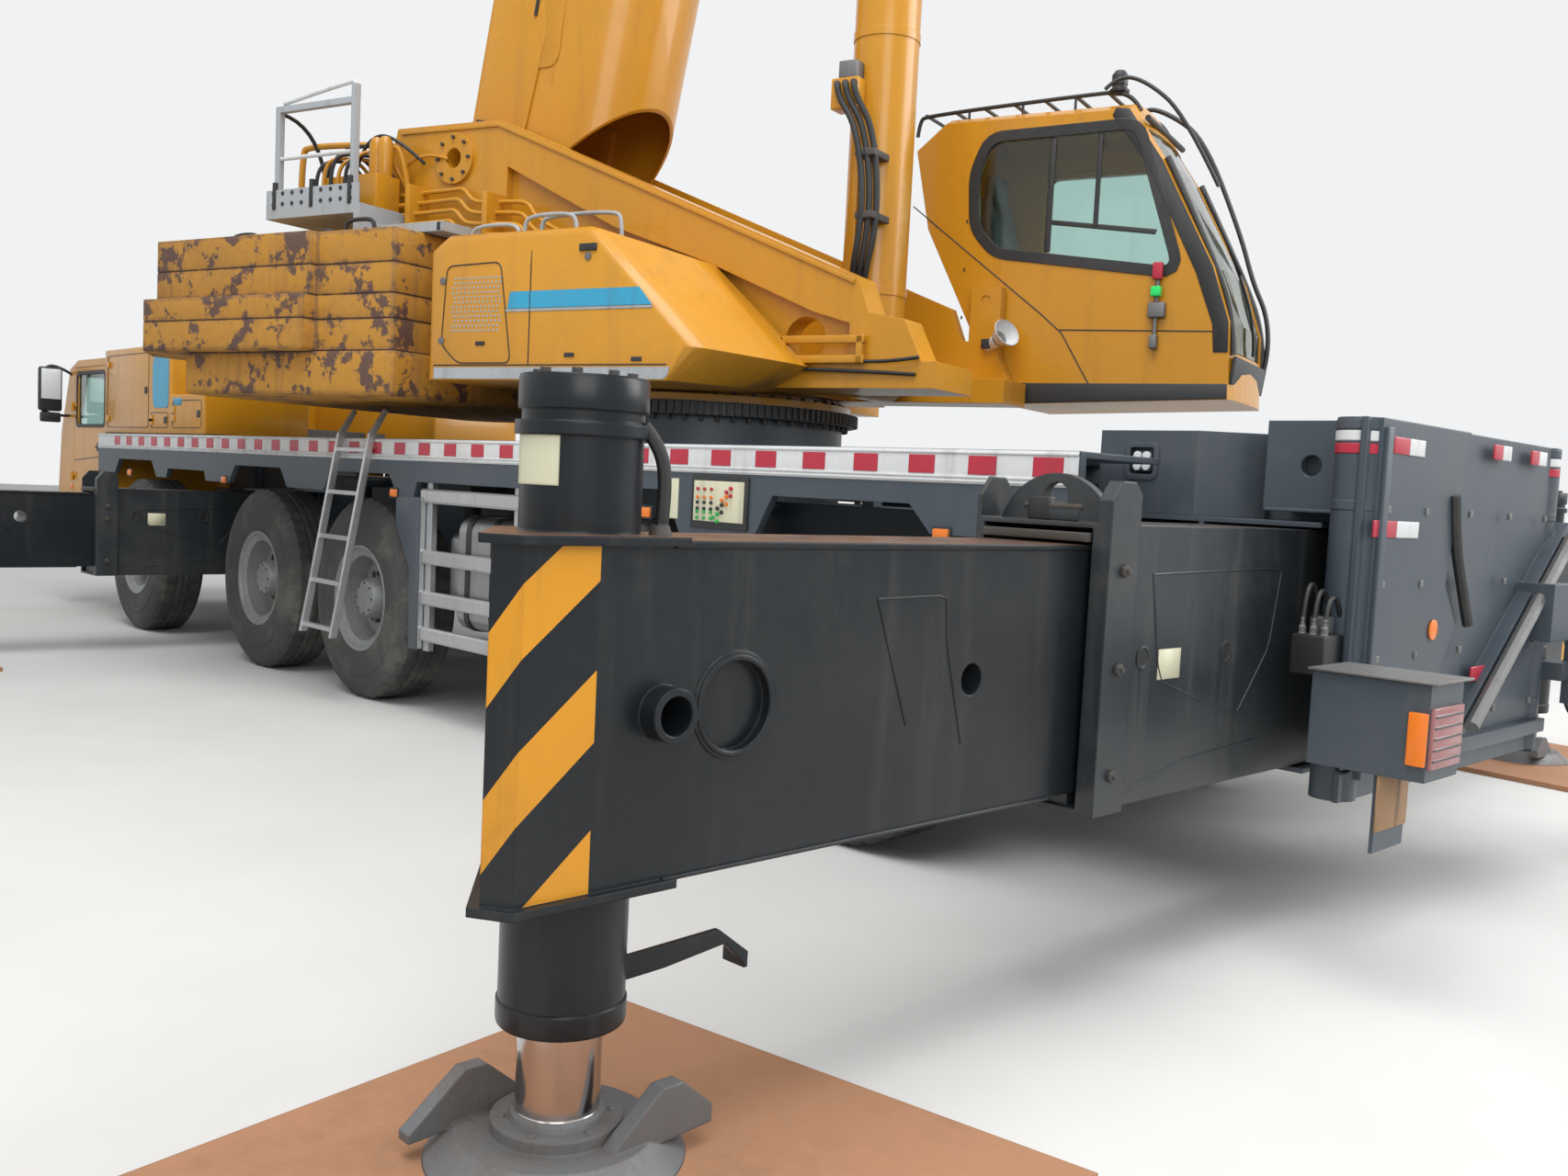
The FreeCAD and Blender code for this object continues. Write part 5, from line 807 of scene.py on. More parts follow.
foot_x, top_x = screen_x(1.85) - 0.004, screen_x(2.38) - 0.004
for y in (-1.245, 1.245):
    cab.plate([(foot_x, y - 0.03, 1.83), (foot_x, y + 0.03, 1.83), (top_x, y + 0.03, 2.4), (top_x, y - 0.03, 2.4)],
              (0.014, 0, 0.005), 0, 0.003)
for z in (1.84, 2.39):
    x = screen_x(z)
    cab.plate([(x + 0.008, -1.27, z - 0.025), (x + 0.008, 1.27, z - 0.025), (x - 0.014, 1.27, z + 0.025),
               (x - 0.014, -1.27, z + 0.025)], (0.012, 0, 0.004), 0, 0.003)
cab.plate([(6.72, -1.3, 2.415), (6.72, 1.3, 2.415), (6.9, 1.28, 2.36), (6.9, -1.28, 2.36)], (0.004, 0, 0.02), 0,
          0.006)
cab.row(0, moved(7.03, 0, 1.1), 9, (0, 0, 0.058), (0.03, 1.7, 0.03))
cab.bar((7.022, -0.92, 1.05), (7.04, -0.87, 1.62), 0, 0.004)
cab.bar((7.022, 0.87, 1.05), (7.04, 0.92, 1.62), 0, 0.004)
cab.bar((7.005, -1.15, 1.66), (7.018, 1.15, 1.74), 0, 0.004)
for y in (-0.72, 0.05):
    cab.pipe([(6.955, y, 1.815), (6.975, y + 0.02, 1.84), (6.94, y + 0.3, 1.92), (6.865, y + 0.62, 2.08)], 0.01, 0)
    cab.pipe([(6.925, y + 0.3, 1.94), (6.83, y + 0.66, 2.17)], 0.012, 0, 2)
    cab.turned([(0, 0), (0.03, 0), (0.026, 0.03), (0, 0.03)], 0, moved(6.945, y, 1.8), 16)
for hand in (1, -1):
    cab.bar((7.00, 0.92 * hand, 0.66), (7.042, 1.3 * hand, 0.84), 0, 0.012)
    cab.bar((7.02, 0.95 * hand, 0.68), (7.048, 1.08 * hand, 0.82), 2, 0.012)
    cab.bar((7.02, 1.11 * hand, 0.68), (7.048, 1.23 * hand, 0.82), 2, 0.012)
    cab.bar((7.02, 1.24 * hand, 0.68), (7.046, 1.28 * hand, 0.82), 3, 0.008)
    cab.turned([(0, 0), (0.055, 0), (0.05, 0.012), (0, 0.012)], 2, moved(7.03, 0.7 * hand, 0.75, TO_FRONT), 24)
    cab.pipe([(6.66, 1.39 * hand, 2.36), (6.66, 1.5 * hand, 2.43), (6.63, 1.66 * hand, 2.44),
              (6.62, 1.7 * hand, 2.3)], 0.014, 0)
    cab.pipe([(6.72, 1.39 * hand, 1.95), (6.66, 1.52 * hand, 1.93), (6.62, 1.68 * hand, 1.98)], 0.014, 0)
    cab.bar((6.585, 1.5 * hand, 1.98), (6.655, 1.72 * hand, 2.42), 0, 0.03)
    cab.bar((6.578, 1.52 * hand, 2.1), (6.588, 1.7 * hand, 2.4), 2, 0.003)
    cab.bar((6.595, 1.51 * hand, 1.87), (6.65, 1.7 * hand, 1.97), 0, 0.02)
    cab.bar((5.44, 1.402 * hand, 1.7), (5.54, 1.406 * hand, 2.4), 0, 0.002)
    cab.bar((6.58, 1.4 * hand, 1.2), (6.66, 1.404 * hand, 1.26), 3, 0.002)
    cab.pipe([(5.5, 1.4 * hand, 1.25), (5.5, 1.445 * hand, 1.27), (5.5, 1.445 * hand, 1.6), (5.5, 1.4 * hand, 1.62)],
             0.013, 0)
    cab.bar((6.58, 0.5 * hand, 2.498), (6.66, 0.62 * hand, 2.53), 3, 0.012)
    cab.bar((5.6, 1.15 * hand, 1.005), (6.5, 1.395 * hand, 1.03), 4, 0.006)
cab.bar((6.1, -0.35, 2.498), (6.35, 0.35, 2.516), 1, 0.012)
cab.bar((6.6, -1.2, 1.45), (6.94, 1.2, 1.72), 4, 0.05)
cab.turned([(0.195, -0.014), (0.209, -0.006), (0.209, 0.008), (0.195, 0.014), (0.183, 0.006), (0.183, -0.008)], 4,
           moved(6.5, 0.72, 1.76) @ Matrix.Rotation(math.radians(-35), 4, "Y"), 40)
cab.pipe([(6.5, 0.72, 1.76), (6.7, 0.72, 1.6)], 0.03, 4, 2)
cab.pipe([(6.5, 0.54, 1.76), (6.5, 0.9, 1.76)], 0.015, 4, 2)
for y in (-0.72, 0.72):
    cab.bar((5.75, y - 0.26, 1.38), (6.25, y + 0.26, 1.52), 4, 0.05)
    cab.plate([(5.72, y - 0.25, 1.45), (5.72, y + 0.25, 1.45), (5.6, y + 0.22, 2.12), (5.6, y - 0.22, 2.12)],
              (0.12, 0, 0.02), 4, 0.045)
    cab.bar((5.8, y - 0.2, 1.04), (6.15, y + 0.2, 1.4), 4, 0.02)
cab.done("root", "yellow_paint")
for side, hand in (("left", 1), ("right", -1)):
    door = Bench("DoorTrim" + side.title(), BLACK, GLASS, YELLOW)
    opening = [(5.655, 1.865), (6.465, 1.865), (6.465, 2.355), (5.655, 2.355)]
    door.ring(rounded(opening, 0.04, 1.396 * hand), 0.035, 0.008 * hand, 0)
    door.bar((5.652, 1.378 * hand, 1.862), (6.468, 1.384 * hand, 2.358), 1, 0.0)
    door.bar((5.66, 1.398 * hand, 1.6), (5.86, 1.404 * hand, 1.68), 0, 0.004)
    door.pipe([(5.68, 1.402 * hand, 1.64), (5.7, 1.432 * hand, 1.64), (5.82, 1.432 * hand, 1.64),
               (5.84, 1.402 * hand, 1.64)], 0.01, 0)
    door.pipe([(5.58, 1.4005 * hand, 1.56), (6.53, 1.4005 * hand, 1.5)], 0.004, 0, 2)
    door.pipe([(5.6, 1.4005 * hand, 1.12), (6.5, 1.4005 * hand, 1.12)], 0.004, 0, 2)
    door.done("driver_door_" + side, "yellow_paint")

# Side boxes: lockers of folded sheet behind the cab, with softened corners, doors, hinges and latches, and a pale
# blue panel on each side. Beside them stand the air intake and the silencer.
SKY_BLUE = worn("SkyBluePaint", (0.03, 0.36, 0.58), rough=0.35, dirt=0.15, streaks=0.15, chips=0.04)


def softened(name, node, width, paint, body, slot, angle=25):
    """Takes a CAD node's place with a copy whose edges are broken by width."""
    work = bmesh.new()
    work.from_mesh(NODES[node].data)
    bmesh.ops.remove_doubles(work, verts=work.verts[:], dist=1e-5)
    bmesh.ops.dissolve_limit(work, angle_limit=math.radians(0.6), verts=work.verts[:], edges=work.edges[:])
    sharp = [e for e in work.edges if len(e.link_faces) == 2 and e.calc_face_angle(0) > math.radians(angle)]
    bmesh.ops.bevel(work, geom=sharp, offset=width, segments=2, profile=0.6, affect="EDGES", clamp_overlap=True)
    piece = Bench(name, paint)
    piece.lay(work)
    return piece.done(body, slot, None, (node,))


softened("SideBoxes", "side_boxes", 0.018, YELLOW, "root", "yellow_paint")
locker = Bench("LockerFittings", BLACK, SKY_BLUE, YELLOW, CAST)
for hand in (1, -1):
    y = 1.49 * hand
    locker.bar((3.42, y, 2.02), (3.6, y + 0.003 * hand, 2.08), 1, 0.001)
    locker.plate([(x, y, z) for x, z in rounded_pairs([(3.72, 2.00), (4.06, 2.00), (4.1, 2.12), (4.1, 2.4),
                                                       (4.02, 2.5), (3.72, 2.5)], 0.04)], (0, 0.003 * hand, 0), 1)
    for x0, x1, z0, z1 in ((4.2, 5.28, 1.83, 2.49), (2.98, 3.62, 1.83, 2.06), (3.72, 4.14, 1.83, 1.96)):
        corners = [(x0, z0), (x1, z0), (x1, z1), (x0, z1)]
        seam = [(x, y, z) for x, z in rounded_pairs(corners, 0.04)]
        locker.pipe(seam + seam[:2], 0.0035, 0, 2)
        for z in (z0 + 0.08, z1 - 0.08):
            locker.bar((x1 - 0.06, y, z - 0.03), (x1 + 0.02, y + 0.01 * hand, z + 0.03), 2, 0.004)
        locker.bar((x0 + 0.03, y, (z0 + z1) / 2 - 0.03), (x0 + 0.09, y + 0.008 * hand, (z0 + z1) / 2 + 0.03), 0,
                   0.004)
locker.pipe([(3.3, 0.95, 2.11), (3.3, 0.95, 2.44)], 0.1, 3, 2)
locker.pipe([(3.3, 0.95, 2.38), (3.3, 0.95, 2.5), (3.18, 0.95, 2.58)], 0.055, 0)
locker.turned([(0, 0), (0.13, 0), (0.14, 0.03), (0.14, 0.2), (0.15, 0.22), (0.15, 0.3), (0.1, 0.36), (0, 0.37)], 0,
              moved(3.3, -0.95, 2.108), 32)
locker.done("root", "yellow_paint")

# Turntable: the slewing ring's teeth and bolts, the base plate and the two cheeks that carry the boom's foot pin,
# flame-cut and welded from thick plate, with pipes, a lamp and a horn on the outer cheek.
tree, given = geometry_tree("ToothRing", (("Count", "Int", 120), ("Ring", "Float", 1.0),
                                          ("Size", "Vector", (0.04, 0.02, 0.07))))
spots = grow_node(tree, "MeshCircle", Vertices=given["Count"], Radius=given["Ring"])
tooth = grow_node(tree, "MeshCube", Size=given["Size"])
facing = tree.nodes.new("FunctionNodeAlignRotationToVector")
facing.axis = "X"
tree.links.new(grow_node(tree, "InputPosition").outputs[0], facing.inputs["Vector"])
teeth = grow_node(tree, "InstanceOnPoints", Points=spots.outputs["Mesh"], Instance=tooth.outputs["Mesh"],
                  Rotation=facing.outputs[0])
TOOTH_RING = end_tree(tree, teeth.outputs[0])
dress(YELLOW, "turntable")
SLEWED, RAISED = math.radians(195.3), math.radians(-79)
FOOT_PIN_X, FOOT_PIN_Z, RAM_PIN_X, RAM_PIN_Z = -1.55, 3.62, 1.19, 2.35
SLEW = moved(-1.62, 0, 0)
UPPER = SLEW @ Matrix.Rotation(SLEWED, 4, "Z")
gear = Bench("SlewingRing", CAST, BLACK)
gear.lay(grown(TOOTH_RING, Count=132, Ring=0.975, Size=(0.05, 0.022, 0.07)), 0, SLEW @ moved(0, 0, 2.02))
gear.bolts(0, SLEW @ moved(0, 0, 1.965), 60, 0.925, 0.014, 0.03)
gear.done("root", "cast_steel")
table = Bench("TurntableFittings", YELLOW, BLACK, LENS, HARDWARE, CAST, WHITE)
table.bolts(4, moved(0, 0, 2.115), 48, 0.9, 0.014, 0.02)
table.bolts(4, moved(FOOT_PIN_X, -0.783, FOOT_PIN_Z, TO_RIGHT), 8, 0.135, 0.012, 0.02)
for k in range(4):
    z, y = 3.4 - 0.075 * k, -0.8 - 0.035 * k
    table.pipe([(-2.02, y, z), (-1.5, y, z + 0.01), (-1.42, y, z + 0.01), (-1.36, y, z - 0.06), (-1.28, y, z - 0.09),
                (-0.95, y, z - 0.1), (-0.86, y, z - 0.12), (-0.8, y, z - 0.22), (-0.62, y + 0.02, z - 0.3)], 0.015, 0)
for x, z in ((-1.8, 3.29), (-1.12, 3.2)):
    table.bar((x - 0.02, -0.93, z - 0.15), (x + 0.02, -0.748, z + 0.15), 0, 0.004)
table.pipe([(-1.6, -0.77, 3.62), (-1.72, -0.8, 3.66), (-1.95, -0.8, 3.62), (-2.05, -0.8, 3.45), (-2.08, -0.79, 3.3)],
           0.012, 0)
table.bar((0.8, -0.97, 2.36), (0.93, -0.87, 2.47), 1, 0.02)
table.bar((0.82, -0.985, 2.375), (0.91, -0.965, 2.455), 2, 0.008)
table.pipe([(0.865, -0.87, 2.42), (0.865, -0.8, 2.4), (0.865, -0.748, 2.34)], 0.012, 1)
for z in (2.409, 2.3):
    table.bar((1.00, -0.8, z - 0.022), (1.56, -0.768, z + 0.022), 0, 0.006)
for x in (1.03, 1.53):
    table.bar((x - 0.02, -0.8, 2.28), (x + 0.02, -0.748, 2.43), 0, 0.004)
horn = moved(1.814, 0.5, 2.558) @ Matrix.Rotation(math.radians(62), 4, "Y") @ Matrix.Rotation(
    math.radians(25), 4, "X")
table.turned([(0, -0.16), (0.022, -0.16), (0.03, -0.1), (0.045, 0.0), (0.085, 0.075), (0.092, 0.078), (0.088, 0.084),
              (0.05, 0.012), (0.02, -0.09), (0, -0.1)], 5, horn, 32)
table.bar((1.7, 0.49, 2.5), (1.76, 0.56, 2.56), 1, 0.006)
for route in ([(-0.9, -0.756, 2.2), (0.3, -0.8, 2.23), (1.1, -0.79, 2.26), (1.86, -0.76, 2.22)],
              [(1.45, -0.77, 2.3), (1.62, -0.8, 2.27), (1.88, -0.77, 2.31)]):
    table.pipe(route, 0.01, 1)
table.pipe([(-2.19, -0.752, 3.4), (-2.1, -0.752, 3.8)], 0.006, 0, 2)
edge_run = [(-2.05, 3.845), (-1.18, 3.825), (0.549, 3.118), (1.46, 2.742)]
table.plate([(x, -0.762, z) for x, z in edge_run] + [(x, -0.762, z - 0.03) for x, z in reversed(edge_run)],
            (0, 0.014, 0), 0, 0.003)
for x, z in ((-2.0, 2.5), (-1.9, 3.1), (-1.45, 3.0)):
    table.turned([(0, 0), (0.03, 0), (0.03, 0.012), (0, 0.012)], 4, moved(x, -0.75, z, TO_RIGHT), 16)
table.done("superstructure", "yellow_paint", UPPER)

# Winch and valve gear behind the right cheek: valve blocks, accumulators and bent pipes on a frame, all painted
# yellow with the crane, and black hoses clipped to the frame.
gearwork = Bench("ValveGear", YELLOW, BLACK, HARDWARE, CAST)
for x0, x1, y0, y1, z0, z1 in ((-2.62, -2.3, -1.02, -0.82, 3.262, 3.42), (-2.2, -1.96, -1.05, -0.84, 3.262, 3.5),
                               (-2.86, -2.68, -0.98, -0.8, 3.262, 3.36), (-2.56, -2.36, -0.98, -0.84, 3.42, 3.52)):
    gearwork.bar((x0, y0, z0), (x1, y1, z1), 0, 0.012)
for k in range(6):
    x = -2.6 + 0.07 * k
    gearwork.turned([(0, 0), (0.02, 0), (0.02, 0.02), (0.012, 0.024), (0.012, 0.06), (0, 0.06)], 3,
                    moved(x, -0.99, 3.42), 6)
    gearwork.pipe([(x, -0.99, 3.46), (x, -0.99, 3.58 + 0.02 * (k % 3)), (x + 0.05, -0.9, 3.66 + 0.02 * (k % 3)),
                   (x + 0.22, -0.82, 3.62), (x + 0.3, -0.8, 3.45)], 0.013, 0 if k % 2 else 1)
for x in (-2.1, -2.02):
    gearwork.turned([(0, 0), (0.045, 0), (0.05, 0.02), (0.05, 0.22), (0.03, 0.26), (0, 0.27)], 0,
                    moved(x, -0.92, 3.5), 20)
gearwork.pipe([(-2.86, -0.9, 3.3), (-2.86, -0.9, 3.72), (-2.8, -0.9, 3.77), (-1.98, -0.88, 3.72),
               (-1.92, -0.86, 3.66), (-1.92, -0.8, 3.4)], 0.022, 0)
gearwork.pipe([(-2.7, -0.84, 3.3), (-2.66, -0.86, 3.56), (-2.5, -0.9, 3.7), (-2.2, -0.9, 3.74), (-1.96, -0.86, 3.7)],
              0.014, 1)
gearwork.pipe([(-2.4, -0.84, 3.5), (-2.3, -0.9, 3.66), (-2.1, -0.92, 3.8), (-1.9, -0.88, 3.72), (-1.8, -0.78, 3.6)],
              0.012, 1)
gearwork.done("superstructure", "yellow_paint", UPPER)

# Engine hood and tank hood: sheet-steel covers with softened edges, a sky-blue stripe, a grey foot band, a door
# with rows of grey dots and its seam, latches, and handrails and louvres on top.
softened("MachineryHoods", "machinery_hoods", 0.016, YELLOW, "superstructure", "hood_paint", 30)
GREY = worn("BandGrey", (0.42, 0.45, 0.47), rough=0.5, dirt=0.3, streaks=0.3)
hood = Bench("HoodFittings", SKY_BLUE, GREY, BLACK, YELLOW, HARDWARE)
FACE = -1.4502
hood.plate([(x, FACE, z) for x, z in ((-0.42, 2.525), (0.61, 2.525), (0.52, 2.622), (-0.4, 2.622))], (0, -0.0025, 0),
           0)
hood.plate([(x, FACE, z) for x, z in ((-0.43, 2.508), (0.61, 2.508), (0.61, 2.522), (-0.43, 2.522))], (0, -0.0025, 0),
           1)
hood.plate([(x, FACE, z) for x, z in ((-0.985, 2.125), (0.7, 2.125), (0.73, 2.145), (0.745, 2.192), (-0.985, 2.192))],
           (0, -0.0025, 0), 1)
hatch = rounded_pairs([(-0.932, 2.327), (-0.899, 2.785), (-0.481, 2.795), (-0.384, 2.217), (-0.8, 2.217)], 0.05)
seam = [(x, FACE, z) for x, z in hatch]
hood.pipe(seam + seam[:2], 0.004, 2, 2)
hood.pipe([(-0.25, FACE, 2.2), (-0.25, FACE, 2.84), (-0.25, -1.4, 2.955), (-0.25, -0.8, 2.977)], 0.004, 2, 2)
hood.pipe([(-0.99, FACE, 2.205), (0.72, FACE, 2.205)], 0.004, 2, 2)
for row, z in enumerate((2.42, 2.475, 2.53, 2.585, 2.64, 2.695)):
    lean = -0.86 + (0.016 if row % 2 else 0)
    hood.field(1, moved(lean + 0.19, FACE, z, TO_RIGHT), 12, 2, 0.352, 0.0275, 0.009, 0.002, 6)
for x, z in ((-0.62, 2.33), (0.52, 2.235), (0.05, 2.26)):
    hood.bar((x - 0.035, FACE - 0.006, z - 0.012), (x + 0.035, FACE + 0.002, z + 0.012), 2, 0.003)
for x, z in ((0.16, 2.8), (-0.93, 2.7), (-0.93, 2.35)):
    hood.turned([(0, 0), (0.022, 0), (0.022, 0.006), (0, 0.008)], 4, moved(x, FACE, z, TO_RIGHT), 16)
hood.bar((0.1, -1.462, 2.83), (0.22, -1.445, 2.87), 2, 0.006)
for x0, x1, y, z in ((-0.94, -0.55, -1.22, 3.06), (-0.52, -0.12, -1.22, 3.1), (-0.6, 0.02, -0.98, 3.15)):
    hood.pipe([(x0, y, 2.965), (x0, y, z - 0.05), (x0 + 0.05, y, z), (x1 - 0.05, y, z), (x1, y, z - 0.05),
               (x1, y, 2.965)], 0.013, 1)
hood.row(2, moved(-0.72, -1.02, 2.977), 14, (0.05, 0, 0), (0.028, 0.42, 0.006))
hood.turned([(0, 0), (0.09, 0), (0.09, 0.05), (0.1, 0.06), (0.1, 0.14), (0.07, 0.17), (0, 0.175)], 2,
            moved(-0.25, 0.98, 2.798), 24)
hood.done("superstructure", "hood_paint", UPPER)

# Counterweight: cast slabs stacked on a base block, their edges rounded by use. The yellow paint is chipped to
# rusty iron, most of all along the edges. A lifting loop and locating studs stand on the top slab.
WEIGHT = worn("WeightPaint", (0.5, 0.235, 0.024), rough=0.6, dirt=0.55, streaks=0.5, chips=0.89, scale=0.8,
              dirt_colour=(0.22, 0.115, 0.045), chip_colour=(0.105, 0.055, 0.038), edge=0.06, bump=0.004)
softened("Counterweight", "counterweight", 0.012, WEIGHT, "superstructure", "weight_paint")
loops = Bench("WeightFittings", BLACK, CAST, WEIGHT)
for x, y in ((-3.05, -1.2), (-3.05, 1.2), (-1.75, 1.25), (-1.75, -1.36)):
    loops.pipe([(x - 0.13, y, 3.03), (x - 0.13, y, 3.1), (x - 0.08, y, 3.125), (x + 0.08, y, 3.125),
                (x + 0.13, y, 3.1), (x + 0.13, y, 3.03)], 0.014, 0)
for x, y in ((-3.55, -0.9), (-3.55, 0.9), (-2.1, -1.3), (-2.1, 1.3)):
    loops.turned([(0, 0), (0.06, 0), (0.06, 0.012), (0.045, 0.016), (0.045, 0.05), (0.03, 0.055), (0, 0.055)], 1,
                 moved(x, y, 3.038), 20)
loops.done("superstructure", "weight_paint", UPPER)

# Service platform: a galvanised tread floor and kick board with punched holes, white posts and rails.
dress(GREY, "service_platform")
deck = Bench("PlatformTread", GREY, BLACK, WHITE)
deck.field(1, moved(-1.515, -1.0, 3.107), 12, 6, 0.66, 0.36, 0.016, 0.004, 12)
deck.field(1, moved(-2.34, -1.252, 3.33, TO_RIGHT), 9, 2, 0.74, 0.07, 0.014, 0.004, 12)
for x in (-2.7, -2.34, -1.98):
    deck.bar((x - 0.016, -1.256, 3.26), (x + 0.016, -1.225, 3.44), 1, 0.003)
deck.pipe([(-2.7, -1.215, 3.6), (-1.98, -1.215, 3.6)], 0.014, 2, 2)
deck.pipe([(-1.98, -1.215, 4.00), (-1.98, -1.215, 4.03), (-2.02, -1.215, 4.045), (-2.66, -1.215, 3.96)], 0.014, 2)
deck.pipe([(-2.7, -1.215, 3.9), (-2.7, -0.82, 3.9), (-2.7, -0.8, 3.3)], 0.014, 1)
for x in (-1.84, -1.2):
    deck.bar((x, -1.252, 3.05), (x + 0.03, -1.246, 3.1), 1, 0.002)
deck.done("superstructure", "bare_aluminium", UPPER)

# Hoist drum between the cheeks, with the rope laid on it turn by turn in one even layer.
tree, given = geometry_tree("RopeLay", (("Turns", "Float", 30.0), ("Drum", "Float", 0.2), ("Length", "Float", 0.7),
                                        ("Rope", "Float", 0.011)))
spiral = grow_node(tree, "CurveSpiral", Resolution=28, Rotations=given["Turns"], Start_Radius=given["Drum"],
                   End_Radius=given["Drum"], Height=given["Length"])
section = grow_node(tree, "CurvePrimitiveCircle", Resolution=8, Radius=given["Rope"])
rope = grow_node(tree, "CurveToMesh", Curve=spiral.outputs[0], Profile_Curve=section.outputs[0], Fill_Caps=True)
ROPE_LAY = end_tree(tree, rope.outputs[0])
dress(CAST, "hoist_drum")
winding = Bench("DrumWinding", HARDWARE, CAST)
winding.lay(grown(ROPE_LAY, Turns=32.0, Drum=0.2, Length=0.74, Rope=0.0112), 0,
            moved(-1.85, 0.37, 2.72, TO_RIGHT))
for y in (-0.424, 0.424):
    winding.bolts(1, moved(-1.85, y, 2.72, TO_RIGHT), 12, 0.22, 0.012, 0.012)
winding.done("hoist_drum", "cast_steel", UPPER)

# Operator's cab: a tilting shell of yellow panels with dark glass in black frames, a sliding door, a roof with a
# guard rail and beacon, a round guard loop over the windscreen, and the seat and console inside.
dress(YELLOW, "operator_cab", "operator_door")
dress(GLASS, "operator_cab_glass")
GREEN_LAMP = worn("GreenLens", (0.02, 0.8, 0.16), rough=0.2, dirt=0.1, streaks=0.0, chips=0.0)
SIDE = 0.6195
cab = Bench("OperatorCabTrim", BLACK, TRIM, LENS, AMBER, GREEN_LAMP, HARDWARE, RED, YELLOW)
window = [(1.644, 3.787), (2.54, 3.791), (2.813, 2.979), (1.718, 3.135), (1.585, 3.283), (1.565, 3.596)]
inside = rounded(window, 0.07, SIDE)
cab.ring(inside, 0.065, -0.006, 0)
cab.ring(rounded(window, 0.07, SIDE + 0.022), 0.004, -0.024, 0)
cab.bar((2.02, SIDE + 0.003, 3.1), (2.06, SIDE + 0.013, 3.785), 0, 0.003)
cab.plate([(2.06, SIDE + 0.004, 3.26), (2.7, SIDE + 0.004, 3.17), (2.71, SIDE + 0.004, 3.2),
           (2.06, SIDE + 0.004, 3.29)], (0, 0.008, 0), 0, 0.002)
cab.bar((2.32, SIDE + 0.003, 3.24), (2.35, SIDE + 0.013, 3.785), 0, 0.003)
for side_y, thick in ((SIDE, -0.005), (1.5005, 0.005)):
    band = [(2.42, 3.925), (2.5, 3.912), (2.715, 3.6), (3.051, 2.97), (3.161, 2.654), (3.168, 2.48),
            (3.085, 2.48), (3.07, 2.64), (2.955, 2.94), (2.64, 3.56), (2.4, 3.88)]
    cab.plate([(x, side_y, z) for x, z in band], (0, thick, 0), 0, 0.0015)
    cab.plate([(x, side_y, z) for x, z in ((1.815, 2.172), (3.18, 2.215), (3.176, 2.3), (1.745, 2.3))], (0, thick, 0),
              1, 0.0015)
    crease = [(1.125, 3.425), (2.157, 2.623), (2.352, 2.307), (2.361, 2.3)]
    cab.pipe([(x, side_y, z) for x, z in crease], 0.004, 1, 2)
    cab.pipe([(2.157, side_y, 2.623), (3.1, side_y, 2.6)], 0.004, 1, 2)
for y in (0.66, 1.46):
    cab.pipe([(2.735, y, 3.62), (3.07, y, 2.975), (3.18, y, 2.66), (3.19, y, 2.47)], 0.02, 0)
cab.plate([(3.176, 0.64, 2.3), (3.176, 1.48, 2.3), (3.196, 1.48, 2.46), (3.196, 0.64, 2.46)], (0.02, 0, 0), 0, 0.006)
cab.pipe([(3.215, 1.06, 2.5), (3.225, 1.02, 2.66), (3.13, 0.9, 3.00), (2.985, 0.82, 3.32)], 0.009, 0)
cab.pipe([(3.155, 0.89, 2.96), (2.93, 0.8, 3.42)], 0.011, 0, 2)
cab.pipe([(2.6, 0.66, 3.86), (2.6, 1.46, 3.86)], 0.018, 0, 2)
for y in (0.75, 1.38):
    cab.pipe([(1.065, y, 3.9), (1.075, y, 4.00), (1.12, y, 4.03), (2.3, y, 4.058), (2.4, y, 4.05), (2.49, y, 4.00),
              (2.53, y, 3.93)], 0.013, 0)
    for x in (1.42, 1.78, 2.12):
        cab.pipe([(x, y, 3.9), (x, y, 4.045)], 0.009, 0, 2)
cab.row(0, moved(1.12, 1.065, 4.032), 7, (0.2, 0, 0.0045), (0.02, 0.63, 0.014))
cab.turned([(0, 0), (0.06, 0), (0.062, 0.015), (0.045, 0.03), (0.045, 0.09), (0.035, 0.115), (0, 0.12)], 0,
           moved(2.378, 0.78, 4.055), 24)
cab.turned([(0, 0), (0.048, 0), (0.048, 0.06), (0.03, 0.085), (0, 0.09)], 1, moved(2.378, 0.78, 4.1), 24)
cab.pipe([(2.302, 1.45, 4.06), (2.33, 1.45, 4.15), (2.491, 1.45, 4.1), (2.732, 1.45, 3.923), (3.005, 1.45, 3.3),
          (3.1, 1.45, 3.000), (3.2, 1.45, 2.8), (3.225, 1.45, 2.56), (3.2, 1.45, 2.44)], 0.015, 0)
cab.pipe([(2.33, 0.66, 4.05), (2.4, 0.68, 4.13), (2.56, 0.7, 4.09), (2.8, 0.72, 3.88), (3.02, 0.74, 3.45)], 0.012, 0)
cab.pipe([(2.744, SIDE - 0.02, 2.99), (2.744, SIDE - 0.03, 2.7), (2.742, SIDE - 0.02, 2.54)], 0.013, 5)
cab.bar((2.715, SIDE - 0.07, 2.8), (2.775, SIDE - 0.02, 2.86), 4, 0.012)
cab.bar((2.715, SIDE - 0.06, 2.9), (2.775, SIDE - 0.02, 3.00), 6, 0.012)
cab.bar((2.722, SIDE - 0.055, 2.5), (2.765, SIDE, 2.58), 5, 0.008)
cab.bar((2.7, SIDE - 0.05, 2.68), (2.8, SIDE, 2.77), 5, 0.012)
for z in (2.42, 2.7, 3.00, 3.3):
    cab.bar((1.5, SIDE - 0.004, z), (1.51, SIDE, z + 0.02), 1, 0.0)
